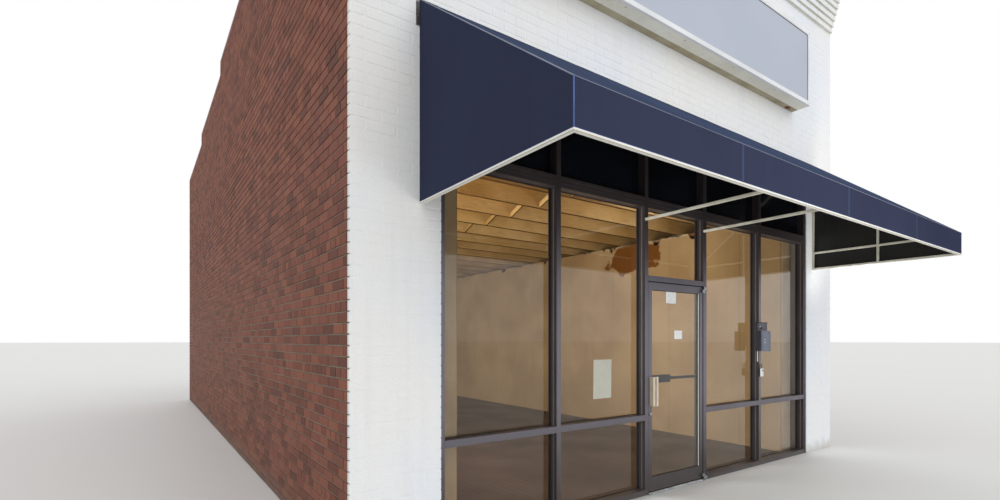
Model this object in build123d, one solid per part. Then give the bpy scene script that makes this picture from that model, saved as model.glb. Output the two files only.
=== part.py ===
from build123d import *
import math
import os

# A one-storey brick shop building between party walls, with a tall blank front above its
# glazed storefront, a closed-end awning and a long wall sign.
# Millimetres. While it is modelled, x runs along the front from its middle, y runs into the
# building from the front wall's face, and z is up from the pavement. The finished pieces are
# moved along y so that the origin lies under the middle of the whole.

# Overall sizes and walls
facade_width = 7020
building_depth = 12200
front_wall_thickness = 330
party_wall_thickness = 400
rear_wall_thickness = 300
left_pier_width = 678
right_pier_width = 726
opening_head = 3750

# Corbelled cornice and copings
corbel_bottom = 5943
corbel_course = 75
corbel_count = 6
corbel_first_step = 30
corbel_step = 20
cornice_band = 290
coping_thickness = 60
coping_overhang = 30
coping_edge = 36

# Stepped tops of the party walls
side_wall_top = 6300
side_step_drop = 225
side_step_count = 3

# Steel lintel, a wide-flange beam
lintel_height = 200
lintel_bearing = 200
lintel_cover = 15
lintel_flange = 16
lintel_web = 12

# Roof
roof_front_underside = 5560
roof_fall = 400
roof_thickness = 200
eaves_overhang = 40
gutter_width = 110
gutter_depth = 100
gutter_wall = 3
downpipe_width = 90
downpipe_inset = 260
downpipe_swan = 215
gutter_drop = 100

# Rear service door
rear_door_width = 915
rear_door_height = 2085
rear_door_thickness = 45
rear_frame_width = 50
rear_frame_depth = 130
rear_door_offset = 1300
rear_frame_inset = 40
rear_step = 15

# Floor, ceiling and inner linings
floor_thickness = 15
joist_spacing = 610
joist_width = 45
joist_depth = 286
joist_underside = 3232
ledger_width = 64
ledger_depth = 184
ceiling_board = 22
bridging_x = -460
bridging_width = 19
bridging_height = 64
bridging_gap = 12
lining_inset = 244
lining_start = 220
lining_board = 16
stud_depth = 89
stud_width = 38

# Storefront frame
frame_setback = 18
frame_depth = 115
jamb_width = 40
mullion_width = 50
hinge_mullion_width = 60
first_bay = 1087
second_bay = 1107
fourth_bay = 1098
sill_height = 57
low_rail_bottom = 740
low_rail_height = 57
head_rail_bottom = 2850
head_rail_height = 100
head_rail_groove = 6
head_rail_grooves = (30, 65)
top_rail_height = 50
door_header_height = 56

# Glazing
glass_setback = 87
glass_thickness = 6
glass_bite = 9.7
glazing_clearance = 0.3

# Street door
leaf_width = 913
leaf_thickness = 45
leaf_setback = 5
leaf_top = 2116
leaf_clearance = 8
lock_gap = 8
hinge_gap = 6
stile_width = 54
door_top_rail = 76
door_bottom_rail = 137
threshold_height = 20
threshold_bevel = 14
threshold_nose = 5
stop_width = 15
stop_depth = 12
stop_clearance = 5

# Street door hardware
pivot_offset = 19
pivot_radius = 10
pivot_height = 32
pivot_gap = 0.3
pivot_block = 40
pull_bottom = 880
pull_height = 289
pull_inset = 19
pull_projection = 50
pull_width = 70
pull_foot = 28
pull_sheet = 5
pull_bend = 10
panic_bar_z = 1138
panic_bar_height = 30
panic_bar_depth = 26
panic_bar_standoff = 34
panic_inset = 20
panic_bracket_width = 34
panic_case_length = 385
panic_case_height = 78
lock_z = 800
lock_radius = 15
lock_projection = 9

# Utility boxes and key box on the fourth mullion
meter_box = (196, 45, 100)
meter_box_z = 1652
meter_box_shift = -86
service_box = (192, 90, 248)
service_box_z = 1400
service_box_shift = -86
key_box = (70, 36, 98)
key_box_z = 1091
key_box_shift = -25
box_edge = 6

# Awning
awning_left_inset = 506
awning_right_inset = 537
awning_projection = 1571
awning_bottom = 2500
awning_front_height = 250
awning_over_head = 194
fabric_thickness = 3
awning_tube = 25
awning_rail_drop = 33
awning_mid_post = 783
trim_height = 26
trim_thickness = 4
trim_joint = 0.3

# Wall sign
sign_inset = 1132
sign_bottom = 4528
sign_height = 942
sign_mount_depth = 76
sign_body_depth = 124
sign_retainer_depth = 28
sign_retainer_width = 52
sign_face_recess = 10
sign_face_thickness = 6

# Places worked out from the sizes above
left_edge = -facade_width / 2
right_edge = facade_width / 2
opening_left = left_edge + left_pier_width
opening_right = right_edge - right_pier_width
inner_left = left_edge + party_wall_thickness
inner_right = right_edge - party_wall_thickness
rear_inner = building_depth - rear_wall_thickness
cornice_projection = corbel_first_step + corbel_step * (corbel_count - 1)
cornice_top = corbel_bottom + corbel_course * corbel_count + cornice_band
frame_front = frame_setback
frame_back = frame_setback + frame_depth
glass_front = frame_front + glass_setback
door_bay = lock_gap + leaf_width + hinge_gap
leaf_bottom = threshold_height + leaf_clearance
leaf_front = frame_front + leaf_setback
header_bottom = leaf_top + leaf_clearance
header_top = header_bottom + door_header_height

bay_1_left = opening_left + jamb_width
bay_1_right = bay_1_left + first_bay
bay_2_left = bay_1_right + mullion_width
bay_2_right = bay_2_left + second_bay
door_left = bay_2_right + mullion_width
door_right = door_left + door_bay
bay_4_left = door_right + hinge_mullion_width
bay_4_right = bay_4_left + fourth_bay
bay_5_left = bay_4_right + mullion_width
bay_5_right = opening_right - jamb_width
glazed_bays = [
    (bay_1_left, bay_1_right),
    (bay_2_left, bay_2_right),
    (bay_4_left, bay_4_right),
    (bay_5_left, bay_5_right),
]
all_bays = glazed_bays + [(door_left, door_right)]
leaf_left = door_left + lock_gap
leaf_right = leaf_left + leaf_width
pivot_x = leaf_right + hinge_gap / 2
pivot_y = leaf_front - pivot_offset

awning_left = left_edge + awning_left_inset
awning_right = right_edge - awning_right_inset
awning_front_top = awning_bottom + awning_front_height
awning_wall_top = opening_head + awning_over_head
awning_rise = awning_wall_top - awning_front_top
awning_mid_rail = awning_front_top - awning_rail_drop
slope_length = math.hypot(awning_projection, awning_rise)
slope_fabric = fabric_thickness * slope_length / awning_projection
slope_tube = awning_tube * slope_length / awning_projection

whole_front = -(awning_projection + trim_thickness)
whole_back = building_depth + eaves_overhang + gutter_width
origin_y = (whole_front + whole_back) / 2


# Small helpers
def block(x0, x1, y0, y1, z0, z1):
    """A plain slab or post between two corners."""
    size = Box(x1 - x0, y1 - y0, z1 - z0, align=(Align.MIN, Align.MIN, Align.MIN))
    return Pos(x0, y0, z0) * size


def rectangle(u0, u1, v0, v1):
    """A flat rectangle between two corners of a section."""
    return Pos((u0 + u1) / 2, (v0 + v1) / 2) * Rectangle(u1 - u0, v1 - v0)


def along_x(section, x0, x1):
    """A section drawn as (y, z), extruded from x0 to x1."""
    return extrude(Plane.YZ.offset(x0) * section, amount=x1 - x0, dir=(1, 0, 0))


def along_y(section, y0, y1):
    """A section drawn as (x, z), extruded from y0 to y1."""
    plane = Plane(origin=(0, y0, 0), x_dir=(1, 0, 0), z_dir=(0, -1, 0))
    return extrude(plane * section, amount=y1 - y0, dir=(0, 1, 0))


def outline(*points):
    """A closed flat outline through the points."""
    return Polygon(*points, align=None)


def roof_underside(y):
    """Height of the roof deck's underside at depth y."""
    run = building_depth - front_wall_thickness
    return roof_front_underside - roof_fall * (y - front_wall_thickness) / run


def awning_slope(y, drop):
    """Height of the awning's sloped top at y, lowered by drop."""
    return awning_wall_top + awning_rise * y / awning_projection - drop


# Masonry
def piers():
    left = block(left_edge, opening_left, 0, front_wall_thickness, 0, opening_head)
    right = block(opening_right, right_edge, 0, front_wall_thickness, 0, opening_head)
    return {"left_pier": [left], "right_pier": [right]}


def lintel_ends():
    return opening_left - lintel_bearing, opening_right + lintel_bearing


def front_wall():
    """The wall over the opening, notched round the lintel."""
    left, right = lintel_ends()
    lintel_top = opening_head + lintel_height
    section = outline(
        (left_edge, opening_head),
        (left, opening_head),
        (left, lintel_top),
        (right, lintel_top),
        (right, opening_head),
        (right_edge, opening_head),
        (right_edge, corbel_bottom),
        (left_edge, corbel_bottom),
    )
    return {"front_wall": [along_y(section, 0, front_wall_thickness)]}


def steel_lintel():
    """A wide-flange beam that carries the wall over the storefront."""
    left, right = lintel_ends()
    top = opening_head + lintel_height
    y0 = lintel_cover
    y1 = front_wall_thickness - lintel_cover
    middle = front_wall_thickness / 2
    section = (
        rectangle(y0, y1, opening_head, opening_head + lintel_flange)
        + rectangle(middle - lintel_web / 2, middle + lintel_web / 2, opening_head, top)
        + rectangle(y0, y1, top - lintel_flange, top)
    )
    return {"steel_lintel": [along_x(section, left, right)]}


def cornice():
    """Courses that step out one after another, and the plain band over them."""
    points = [(front_wall_thickness, corbel_bottom)]
    for course in range(corbel_count):
        y = -(corbel_first_step + corbel_step * course)
        z = corbel_bottom + corbel_course * course
        last = course == corbel_count - 1
        points += [(y, z), (y, cornice_top if last else z + corbel_course)]
    points.append((front_wall_thickness, cornice_top))
    return {"front_cornice": [along_x(outline(*points), left_edge, right_edge)]}


def coping_section(y0, y1, z):
    """A weathered coping: flat below, with a low ridge on top."""
    return outline(
        (y0, z),
        (y1, z),
        (y1, z + coping_edge),
        ((y0 + y1) / 2, z + coping_thickness),
        (y0, z + coping_edge),
    )


def front_coping():
    y0 = -cornice_projection - coping_overhang
    y1 = front_wall_thickness + coping_overhang
    section = coping_section(y0, y1, cornice_top)
    return {"front_coping": [along_x(section, left_edge, right_edge)]}


def side_steps():
    """Front, back and top of each step of a party wall, from the front."""
    run = (building_depth - front_wall_thickness) / (side_step_count + 1)
    steps = []
    for step in range(side_step_count + 1):
        y0 = front_wall_thickness + run * step
        steps.append((y0, y0 + run, side_wall_top - side_step_drop * step))
    return steps


def party_walls():
    points = [(building_depth, 0), (front_wall_thickness, 0)]
    for y0, y1, top in side_steps():
        points += [(y0, top), (y1, top)]
    section = outline(*points)
    left = along_x(section, left_edge, inner_left)
    right = along_x(section, inner_right, right_edge)
    return {"left_party_wall": [left], "right_party_wall": [right]}


def side_copings():
    """One length of coping on each step of both party walls."""
    lengths = []
    for x0, x1 in ((left_edge, inner_left), (inner_right, right_edge)):
        for index, (y0, y1, top) in enumerate(side_steps()):
            start = y0 if index == 0 else y0 + coping_overhang
            section = coping_section(x0, x1, top)
            lengths.append(along_y(section, start, y1))
    return {"side_copings": lengths}


def rear_doorway():
    """Left, right and top of the doorway in the rear wall."""
    half = rear_door_width / 2 + rear_frame_width
    top = rear_step + rear_door_height + rear_frame_width
    return rear_door_offset - half, rear_door_offset + half, top


def rear_wall():
    left, right, top = rear_doorway()
    sides = [
        block(inner_left, left, rear_inner, building_depth, 0, top),
        block(right, inner_right, rear_inner, building_depth, 0, top),
    ]
    section = outline(
        (rear_inner, top),
        (building_depth, top),
        (building_depth, roof_underside(building_depth)),
        (rear_inner, roof_underside(rear_inner)),
    )
    over = along_x(section, inner_left, inner_right)
    return {"rear_wall_sides": sides, "rear_wall_over_door": [over]}


def rear_door():
    """A plain steel service door in its frame, shut."""
    left, right, top = rear_doorway()
    inner = rectangle(
        left + rear_frame_width, right - rear_frame_width, rear_step, top - rear_frame_width
    )
    y1 = building_depth - rear_frame_inset
    frame = along_y(rectangle(left, right, 0, top) - inner, y1 - rear_frame_depth, y1)
    leaf = along_y(inner, y1 - rear_door_thickness, y1)
    return {"rear_door_frame": [frame], "rear_door": [leaf]}


# Roof
def roof():
    end = building_depth + eaves_overhang
    section = outline(
        (front_wall_thickness, roof_underside(front_wall_thickness)),
        (end, roof_underside(end)),
        (end, roof_underside(end) + roof_thickness),
        (front_wall_thickness, roof_underside(front_wall_thickness) + roof_thickness),
    )
    return {"roof_deck": [along_x(section, inner_left, inner_right)]}


def rear_gutter():
    """An open gutter along the eaves, with a square downpipe."""
    y0 = building_depth + eaves_overhang
    y1 = y0 + gutter_width
    top = roof_underside(y0) + roof_thickness - gutter_drop
    bottom = top - gutter_depth
    gutter = block(inner_left, inner_right, y0, y1, bottom, top)
    wall = gutter_wall
    gutter -= block(inner_left + wall, inner_right - wall, y0 + wall, y1 - wall, bottom + wall, top)
    x1 = inner_right - downpipe_inset
    x0 = x1 - downpipe_width
    offset = (gutter_width - downpipe_width) / 2
    pipe_front = y0 + offset
    pipe_back = pipe_front + downpipe_width
    neck = bottom - offset - gutter_wall
    elbow = bottom - downpipe_swan
    section = outline(
        (pipe_front, bottom),
        (pipe_front, neck),
        (building_depth, elbow),
        (building_depth, 0),
        (building_depth + downpipe_width, 0),
        (building_depth + downpipe_width, elbow),
        (pipe_back, neck),
        (pipe_back, bottom),
    )
    return {"rear_gutter": [gutter], "rear_downpipe": [along_x(section, x0, x1)]}


# Floor, ceiling and linings
def floor():
    slab = block(inner_left, inner_right, frame_back, rear_inner, 0, floor_thickness)
    corner = front_wall_thickness
    for x0, x1 in ((inner_left, opening_left), (opening_right, inner_right)):
        slab -= block(x0, x1, 0, corner, 0, floor_thickness)
    return {"floor_slab": [slab]}


def joist_rows():
    """Depth of the middle of each ceiling joist."""
    count = int((rear_inner - joist_width) // joist_spacing)
    return [joist_spacing * (index + 1) for index in range(count)]


def ceiling():
    top = joist_underside + joist_depth
    joists = []
    for y in joist_rows():
        y0 = y - joist_width / 2
        joists.append(block(inner_left, inner_right, y0, y0 + joist_width, joist_underside, top))
    boards = block(inner_left, inner_right, front_wall_thickness, rear_inner, top, top + ceiling_board)
    ledgers = []
    for x0, x1 in ((inner_left, inner_left + ledger_width), (inner_right - ledger_width, inner_right)):
        low = joist_underside - ledger_depth
        ledgers.append(block(x0, x1, front_wall_thickness, rear_inner, low, joist_underside))
    return {"ceiling_joists": joists, "ceiling_boards": [boards], "joist_ledgers": ledgers}


def bridging():
    """Crossed struts between neighbouring joists, side by side along x."""
    low = joist_underside
    high = joist_underside + joist_depth
    rows = joist_rows()
    struts = []
    for near, far in zip(rows, rows[1:]):
        y0 = near + joist_width / 2
        y1 = far - joist_width / 2
        rising = outline((y0, low), (y1, high - bridging_height), (y1, high), (y0, low + bridging_height))
        falling = outline((y0, high - bridging_height), (y1, low), (y1, low + bridging_height), (y0, high))
        x = bridging_x
        struts.append(along_x(rising, x, x + bridging_width))
        x += bridging_width + bridging_gap
        struts.append(along_x(falling, x, x + bridging_width))
    return {"joist_bridging": struts}


def lining_frame(x0, x1):
    """Studs between a foot plate and a head plate, in one frame."""
    z0 = floor_thickness
    z1 = joist_underside
    frame = block(x0, x1, lining_start, rear_inner, z0, z0 + stud_width)
    frame += block(x0, x1, lining_start, rear_inner, z1 - stud_width, z1)
    count = int((rear_inner - stud_width - lining_start) // joist_spacing) + 1
    for index in range(count):
        y = lining_start + joist_spacing * index
        frame += block(x0, x1, y, y + stud_width, z0, z1)
    return frame


def linings():
    """Boarded linings inside both party walls, turned back to the piers."""
    boards = []
    frames = []
    returns = []
    z0 = floor_thickness
    z1 = joist_underside
    for side, edge in ((-1, opening_left), (1, opening_right)):
        face = edge - side * lining_inset
        back = face + side * lining_board
        stud_back = back + side * stud_depth
        low, high = sorted((face, back))
        boards.append(block(low, high, lining_start, rear_inner, z0, z1))
        low, high = sorted((back, stud_back))
        frames.append(lining_frame(low, high))
        low, high = sorted((face, edge))
        returns.append(block(low, high, lining_start - lining_board, lining_start, z0, z1))
    return {"lining_boards": boards, "lining_frames": frames, "lining_returns": returns}


# Storefront frame
def pocket_span():
    """Front and back of the pockets that hold the glass."""
    return glass_front - glazing_clearance, glass_front + glass_thickness + glazing_clearance


def pocket_depth():
    return glass_bite + glazing_clearance


def upright(x0, x1, left_pocket, right_pocket):
    """An upright whose pockets for glass start at the heights given, or None for no pocket."""
    y0, y1 = pocket_span()
    depth = pocket_depth()
    body = block(x0, x1, frame_front, frame_back, 0, opening_head)
    if left_pocket is not None:
        body -= block(x0, x0 + depth, y0, y1, left_pocket, opening_head)
    if right_pocket is not None:
        body -= block(x1 - depth, x1, y0, y1, right_pocket, opening_head)
    return body


def uprights():
    glass_foot = sill_height - pocket_depth()
    light_foot = header_top - pocket_depth()
    jambs = [
        upright(opening_left, bay_1_left, None, glass_foot),
        upright(bay_5_right, opening_right, glass_foot, None),
    ]
    mullions = [
        upright(bay_1_right, bay_2_left, glass_foot, glass_foot),
        upright(bay_2_right, door_left, glass_foot, light_foot),
        upright(door_right, bay_4_left, light_foot, glass_foot),
        upright(bay_4_right, bay_5_left, glass_foot, glass_foot),
    ]
    return {"storefront_jambs": jambs, "mullions": mullions}


def rail_section(z0, z1, pocket_below, pocket_above, grooves=()):
    """Section of a horizontal storefront bar, drawn as (y, z)."""
    y0, y1 = pocket_span()
    depth = pocket_depth()
    section = rectangle(frame_front, frame_back, z0, z1)
    if pocket_below:
        section -= rectangle(y0, y1, z0, z0 + depth)
    if pocket_above:
        section -= rectangle(y0, y1, z1 - depth, z1)
    for z in grooves:
        section -= rectangle(frame_front, frame_front + head_rail_groove, z, z + head_rail_groove)
    return section


def bars(section, bays):
    return [along_x(section, x0, x1) for x0, x1 in bays]


def rails():
    sill = rail_section(0, sill_height, False, True)
    low_rail_top = low_rail_bottom + low_rail_height
    low = rail_section(low_rail_bottom, low_rail_top, True, True)
    head_top = head_rail_bottom + head_rail_height
    grooves = [head_rail_bottom + height for height in head_rail_grooves]
    head = rail_section(head_rail_bottom, head_top, True, True, grooves)
    top = rail_section(opening_head - top_rail_height, opening_head, True, False)
    header = rail_section(header_bottom, header_top, False, True)
    return {
        "sill_rails": bars(sill, glazed_bays),
        "low_rails": bars(low, glazed_bays),
        "head_rails": bars(head, all_bays),
        "top_rails": bars(top, all_bays),
        "door_header": bars(header, [(door_left, door_right)]),
    }


def pane(x0, x1, z0, z1):
    """A sheet whose edges stand in the pockets round an opening."""
    y1 = glass_front + glass_thickness
    return block(x0 - glass_bite, x1 + glass_bite, glass_front, y1, z0 - glass_bite, z1 + glass_bite)


def glazing():
    low_rail_top = low_rail_bottom + low_rail_height
    head_top = head_rail_bottom + head_rail_height
    low_panes = [pane(x0, x1, sill_height, low_rail_bottom) for x0, x1 in glazed_bays]
    tall_panes = [pane(x0, x1, low_rail_top, head_rail_bottom) for x0, x1 in glazed_bays]
    light = pane(door_left, door_right, header_top, head_rail_bottom)
    panels = [pane(x0, x1, head_top, opening_head - top_rail_height) for x0, x1 in all_bays]
    return {
        "low_glass": low_panes,
        "tall_glass": tall_panes + [light],
        "head_panels": panels,
    }


def doorway():
    """Threshold and the stops that the leaf shuts against."""
    section = outline(
        (0, 0),
        (frame_back, 0),
        (frame_back, floor_thickness),
        (frame_back - threshold_bevel, threshold_height),
        (threshold_bevel, threshold_height),
        (0, threshold_nose),
    )
    threshold = along_x(section, door_left, door_right)
    stop_front = leaf_front + leaf_thickness + stop_clearance
    stops = along_y(
        rectangle(door_left, door_right, threshold_height, header_bottom)
        - rectangle(
            door_left + stop_width,
            door_right - stop_width,
            threshold_height,
            header_bottom - stop_width,
        ),
        stop_front,
        stop_front + stop_depth,
    )
    return {"door_threshold": [threshold], "door_stops": [stops]}


# Street door
def door_pocket():
    """Front and back of the groove that holds the leaf's glass."""
    middle = leaf_front + leaf_thickness / 2
    half = glass_thickness / 2 + glazing_clearance
    return middle - half, middle + half


def door_leaf():
    """Two stiles and two rails round one sheet of glass."""
    y0 = leaf_front
    y1 = leaf_front + leaf_thickness
    groove_front, groove_back = door_pocket()
    depth = pocket_depth()
    inner_x0 = leaf_left + stile_width
    inner_x1 = leaf_right - stile_width
    rail_top = leaf_bottom + door_bottom_rail
    rail_low = leaf_top - door_top_rail
    left = block(leaf_left, inner_x0, y0, y1, leaf_bottom, leaf_top)
    groove_foot = rail_top - depth
    groove_head = rail_low + depth
    left -= block(inner_x0 - depth, inner_x0, groove_front, groove_back, groove_foot, groove_head)
    right = block(inner_x1, leaf_right, y0, y1, leaf_bottom, leaf_top)
    right -= block(inner_x1, inner_x1 + depth, groove_front, groove_back, groove_foot, groove_head)
    bottom = rectangle(y0, y1, leaf_bottom, rail_top)
    bottom -= rectangle(groove_front, groove_back, groove_foot, rail_top)
    top = rectangle(y0, y1, rail_low, leaf_top)
    top -= rectangle(groove_front, groove_back, rail_low, groove_head)
    door_rails = bars(bottom, [(inner_x0, inner_x1)]) + bars(top, [(inner_x0, inner_x1)])
    glass = block(
        inner_x0 - glass_bite,
        inner_x1 + glass_bite,
        groove_front + glazing_clearance,
        groove_back - glazing_clearance,
        rail_top - glass_bite,
        rail_low + glass_bite,
    )
    return {"door_stiles": [left, right], "door_rails": door_rails, "door_glass": [glass]}


def knuckle(z0, z1):
    upright_from_foot = (Align.CENTER, Align.CENTER, Align.MIN)
    return Pos(pivot_x, pivot_y, z0) * Cylinder(pivot_radius, z1 - z0, align=upright_from_foot)


def leaf_pivot(z0, z1):
    arm = block(leaf_right - pivot_block, leaf_right, pivot_y - pivot_radius, leaf_front, z0, z1)
    return knuckle(z0, z1) + arm + block(leaf_right, pivot_x, pivot_y - pivot_radius, pivot_y, z0, z1)


def frame_pivot(z0, z1):
    arm = block(pivot_x, door_right + pivot_block, pivot_y - pivot_radius, frame_front, z0, z1)
    clear = block(pivot_x, door_right, pivot_y + pivot_radius, frame_front, z0, z1)
    return knuckle(z0, z1) + (arm - clear)


def pivots():
    """Offset pivots at the foot and head of the hinge side."""
    foot = threshold_height + pivot_height
    head = leaf_top - pivot_height
    on_leaf = [
        leaf_pivot(foot + pivot_gap, foot + pivot_height),
        leaf_pivot(head - pivot_height, head - pivot_gap),
    ]
    on_frame = [frame_pivot(foot - pivot_height, foot), frame_pivot(head, head + pivot_height)]
    return {"leaf_pivots": on_leaf, "frame_pivots": on_frame}


def pull_handle():
    """A tall pull folded from sheet: a foot on the lock stile, a web and a lip to grip."""
    x0 = leaf_left + pull_inset
    x1 = x0 + pull_sheet
    front = leaf_front - pull_projection
    section = outline(
        (x0, leaf_front),
        (x0 + pull_foot, leaf_front),
        (x0 + pull_foot, leaf_front - pull_sheet),
        (x1, leaf_front - pull_sheet),
        (x1, front + pull_sheet),
        (x0 + pull_width, front + pull_sheet),
        (x0 + pull_width, front),
        (x0, front),
    )
    outer = section.vertices().sort_by_distance((x0, front))[0]
    inner = section.vertices().sort_by_distance((x1, front + pull_sheet))[0]
    section = fillet(outer, pull_bend)
    section = fillet(section.vertices().sort_by_distance((inner.X, inner.Y))[0], pull_bend - pull_sheet)
    handle = extrude(Pos(0, 0, pull_bottom) * section, amount=pull_height, dir=(0, 0, 1))
    return {"pull_handle": [handle]}


def panic_bar():
    """A push bar across the inside of the leaf, with its latch case and end bracket."""
    y0 = leaf_front + leaf_thickness
    z0 = panic_bar_z - panic_bar_height / 2
    z1 = panic_bar_z + panic_bar_height / 2
    x0 = leaf_left + panic_inset
    x1 = leaf_right - panic_inset
    depth = panic_bar_standoff + panic_bar_depth
    bar = block(x0, x1, y0 + panic_bar_standoff, y0 + depth, z0, z1)
    case_z = panic_bar_z - panic_case_height / 2
    bar += block(x0, x0 + panic_case_length, y0, y0 + depth, case_z, case_z + panic_case_height)
    bar += block(x1 - panic_bracket_width, x1, y0, y0 + depth, z0, z1)
    return {"panic_bar": [bar]}


def door_lock():
    x = leaf_left + stile_width / 2
    plane = Plane(origin=(x, leaf_front, lock_z), z_dir=(0, -1, 0))
    return {"door_lock": [extrude(plane * Circle(lock_radius), amount=lock_projection)]}


# Boxes on the fourth mullion
def mounted_box(size, x0, z0):
    width, depth, height = size
    body = block(x0, x0 + width, frame_front - depth, frame_front, z0, z0 + height)
    front_edges = body.faces().sort_by(Axis.Y)[0].edges()
    return chamfer(front_edges, box_edge)


def utility_boxes():
    boxes = [
        mounted_box(meter_box, bay_4_right + meter_box_shift, meter_box_z),
        mounted_box(service_box, bay_4_right + service_box_shift, service_box_z),
        mounted_box(key_box, bay_4_right + key_box_shift, key_box_z),
    ]
    return {"utility_boxes": boxes}


# Awning
def awning_end(x0, x1):
    """Outline of a closed end, extruded between two places along the front."""
    section = outline(
        (0, awning_bottom),
        (-awning_projection, awning_bottom),
        (-awning_projection, awning_front_top),
        (0, awning_wall_top),
    )
    return along_x(section, x0, x1)


def awning_fabric():
    """Sloped top, upright front and two ends."""
    x0 = awning_left + fabric_thickness
    x1 = awning_right - fabric_thickness
    ends = [awning_end(awning_left, x0), awning_end(x1, awning_right)]
    top_section = outline(
        (0, awning_wall_top),
        (-awning_projection, awning_front_top),
        (-awning_projection, awning_front_top - slope_fabric),
        (0, awning_wall_top - slope_fabric),
    )
    front = block(
        x0,
        x1,
        -awning_projection,
        fabric_thickness - awning_projection,
        awning_bottom,
        awning_front_top - slope_fabric,
    )
    return {
        "awning_ends": ends,
        "awning_top": [along_x(top_section, x0, x1)],
        "awning_front": [front],
    }


def end_frame(x0):
    """Welded square tubes behind one closed end."""
    x1 = x0 + awning_tube
    front = fabric_thickness - awning_projection
    low = awning_bottom
    under = slope_fabric
    sloped = outline(
        (0, awning_slope(0, under)),
        (front, awning_slope(front, under)),
        (front, awning_slope(front, under + slope_tube)),
        (0, awning_slope(0, under + slope_tube)),
    )
    section = sloped + rectangle(front, 0, low, low + awning_tube)
    section += rectangle(front, 0, awning_mid_rail, awning_mid_rail + awning_tube)
    for y in (front, -awning_mid_post, -awning_tube):
        post = outline(
            (y, low),
            (y + awning_tube, low),
            (y + awning_tube, awning_slope(y + awning_tube, under)),
            (y, awning_slope(y, under)),
        )
        section += post
    trimmed = section & outline(
        (0, low),
        (front, low),
        (front, awning_slope(front, under)),
        (0, awning_slope(0, under)),
    )
    return along_x(trimmed, x0, x1)


def awning_frame():
    """End frames, the long rails between them, and the ties back to the storefront."""
    x0 = awning_left + fabric_thickness
    x1 = awning_right - fabric_thickness - awning_tube
    front = fabric_thickness - awning_projection
    rail_x0 = x0 + awning_tube
    wall_top = awning_slope(-awning_tube, slope_fabric)
    front_top = awning_slope(front, slope_fabric)
    long_rails = [
        block(rail_x0, x1, -awning_tube, 0, wall_top - awning_tube, wall_top),
        block(rail_x0, x1, front, front + awning_tube, front_top - awning_tube, front_top),
        block(rail_x0, x1, front, front + awning_tube, awning_bottom, awning_bottom + awning_tube),
    ]
    tie_top = min(awning_mid_rail + awning_tube, front_top)
    ties = []
    for x in (bay_2_right, door_right):
        low = tie_top - awning_tube
        ties.append(block(x, x + awning_tube, front + awning_tube, frame_front, low, tie_top))
    return {
        "awning_end_frames": [end_frame(x0), end_frame(x1)],
        "awning_rails": long_rails,
        "awning_ties": ties,
    }


def awning_trim():
    """A light strip along the foot of the front and both ends."""
    x0, x1 = awning_left, awning_right
    t = trim_thickness
    z0 = awning_bottom
    z1 = awning_bottom + trim_height
    front = -awning_projection
    strips = [block(x0 - t, x1 + t, front - t, front, z0, z1)]
    for low, high in ((x0 - t, x0), (x1, x1 + t)):
        strips.append(block(low, high, front + trim_joint, 0, z0, z1))
    return {"awning_trim": strips}


# Wall sign
def wall_sign():
    """A cabinet on its mounting frame, with a retainer round a blank face."""
    x0 = left_edge + sign_inset
    x1 = right_edge - sign_inset
    z0 = sign_bottom
    z1 = sign_bottom + sign_height
    body_back = -sign_mount_depth
    body_front = body_back - sign_body_depth
    retainer_front = body_front - sign_retainer_depth
    w = sign_retainer_width
    mount = block(x0, x1, body_back, 0, z0, z1)
    body = block(x0, x1, body_front, body_back, z0, z1)
    hole = rectangle(x0 + w, x1 - w, z0 + w, z1 - w)
    retainer = along_y(rectangle(x0, x1, z0, z1) - hole, retainer_front, body_front)
    face_front = retainer_front + sign_face_recess
    face = along_y(hole, face_front, face_front + sign_face_thickness)
    backing = along_y(hole, face_front + sign_face_thickness, body_front)
    return {
        "sign_mount": [mount],
        "sign_cabinet": [body + backing],
        "sign_retainer": [retainer],
        "sign_face": [face],
    }


def build():
    pieces = {}
    for group in (
        piers, front_wall, steel_lintel, cornice, front_coping, party_walls, side_copings,
        rear_wall, rear_door, roof, rear_gutter, floor, ceiling, bridging, linings, uprights,
        rails, glazing, doorway, door_leaf, pivots, pull_handle, panic_bar, door_lock,
        utility_boxes, awning_fabric, awning_frame, awning_trim, wall_sign,
    ):
        pieces.update(group())
    return pieces


os.makedirs("parts", exist_ok=True)
for name, shapes in build().items():
    solids = [solid for shape in shapes for solid in (Pos(0, -origin_y, 0) * shape).solids()]
    export_step(solids[0] if len(solids) == 1 else Compound(solids), f"parts/{name}.step")
print("pivot axis x, y:", pivot_x, pivot_y - origin_y, "front wall face y:", -origin_y)
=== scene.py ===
"""A white painted brick shop with a canvas awning, a bare wall sign and an aluminium storefront."""

import logging
import math
from contextlib import contextmanager
from dataclasses import dataclass, field, replace
from enum import Enum
from functools import cached_property, partial
from typing import Callable, Iterator, Optional, Sequence, Union

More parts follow.
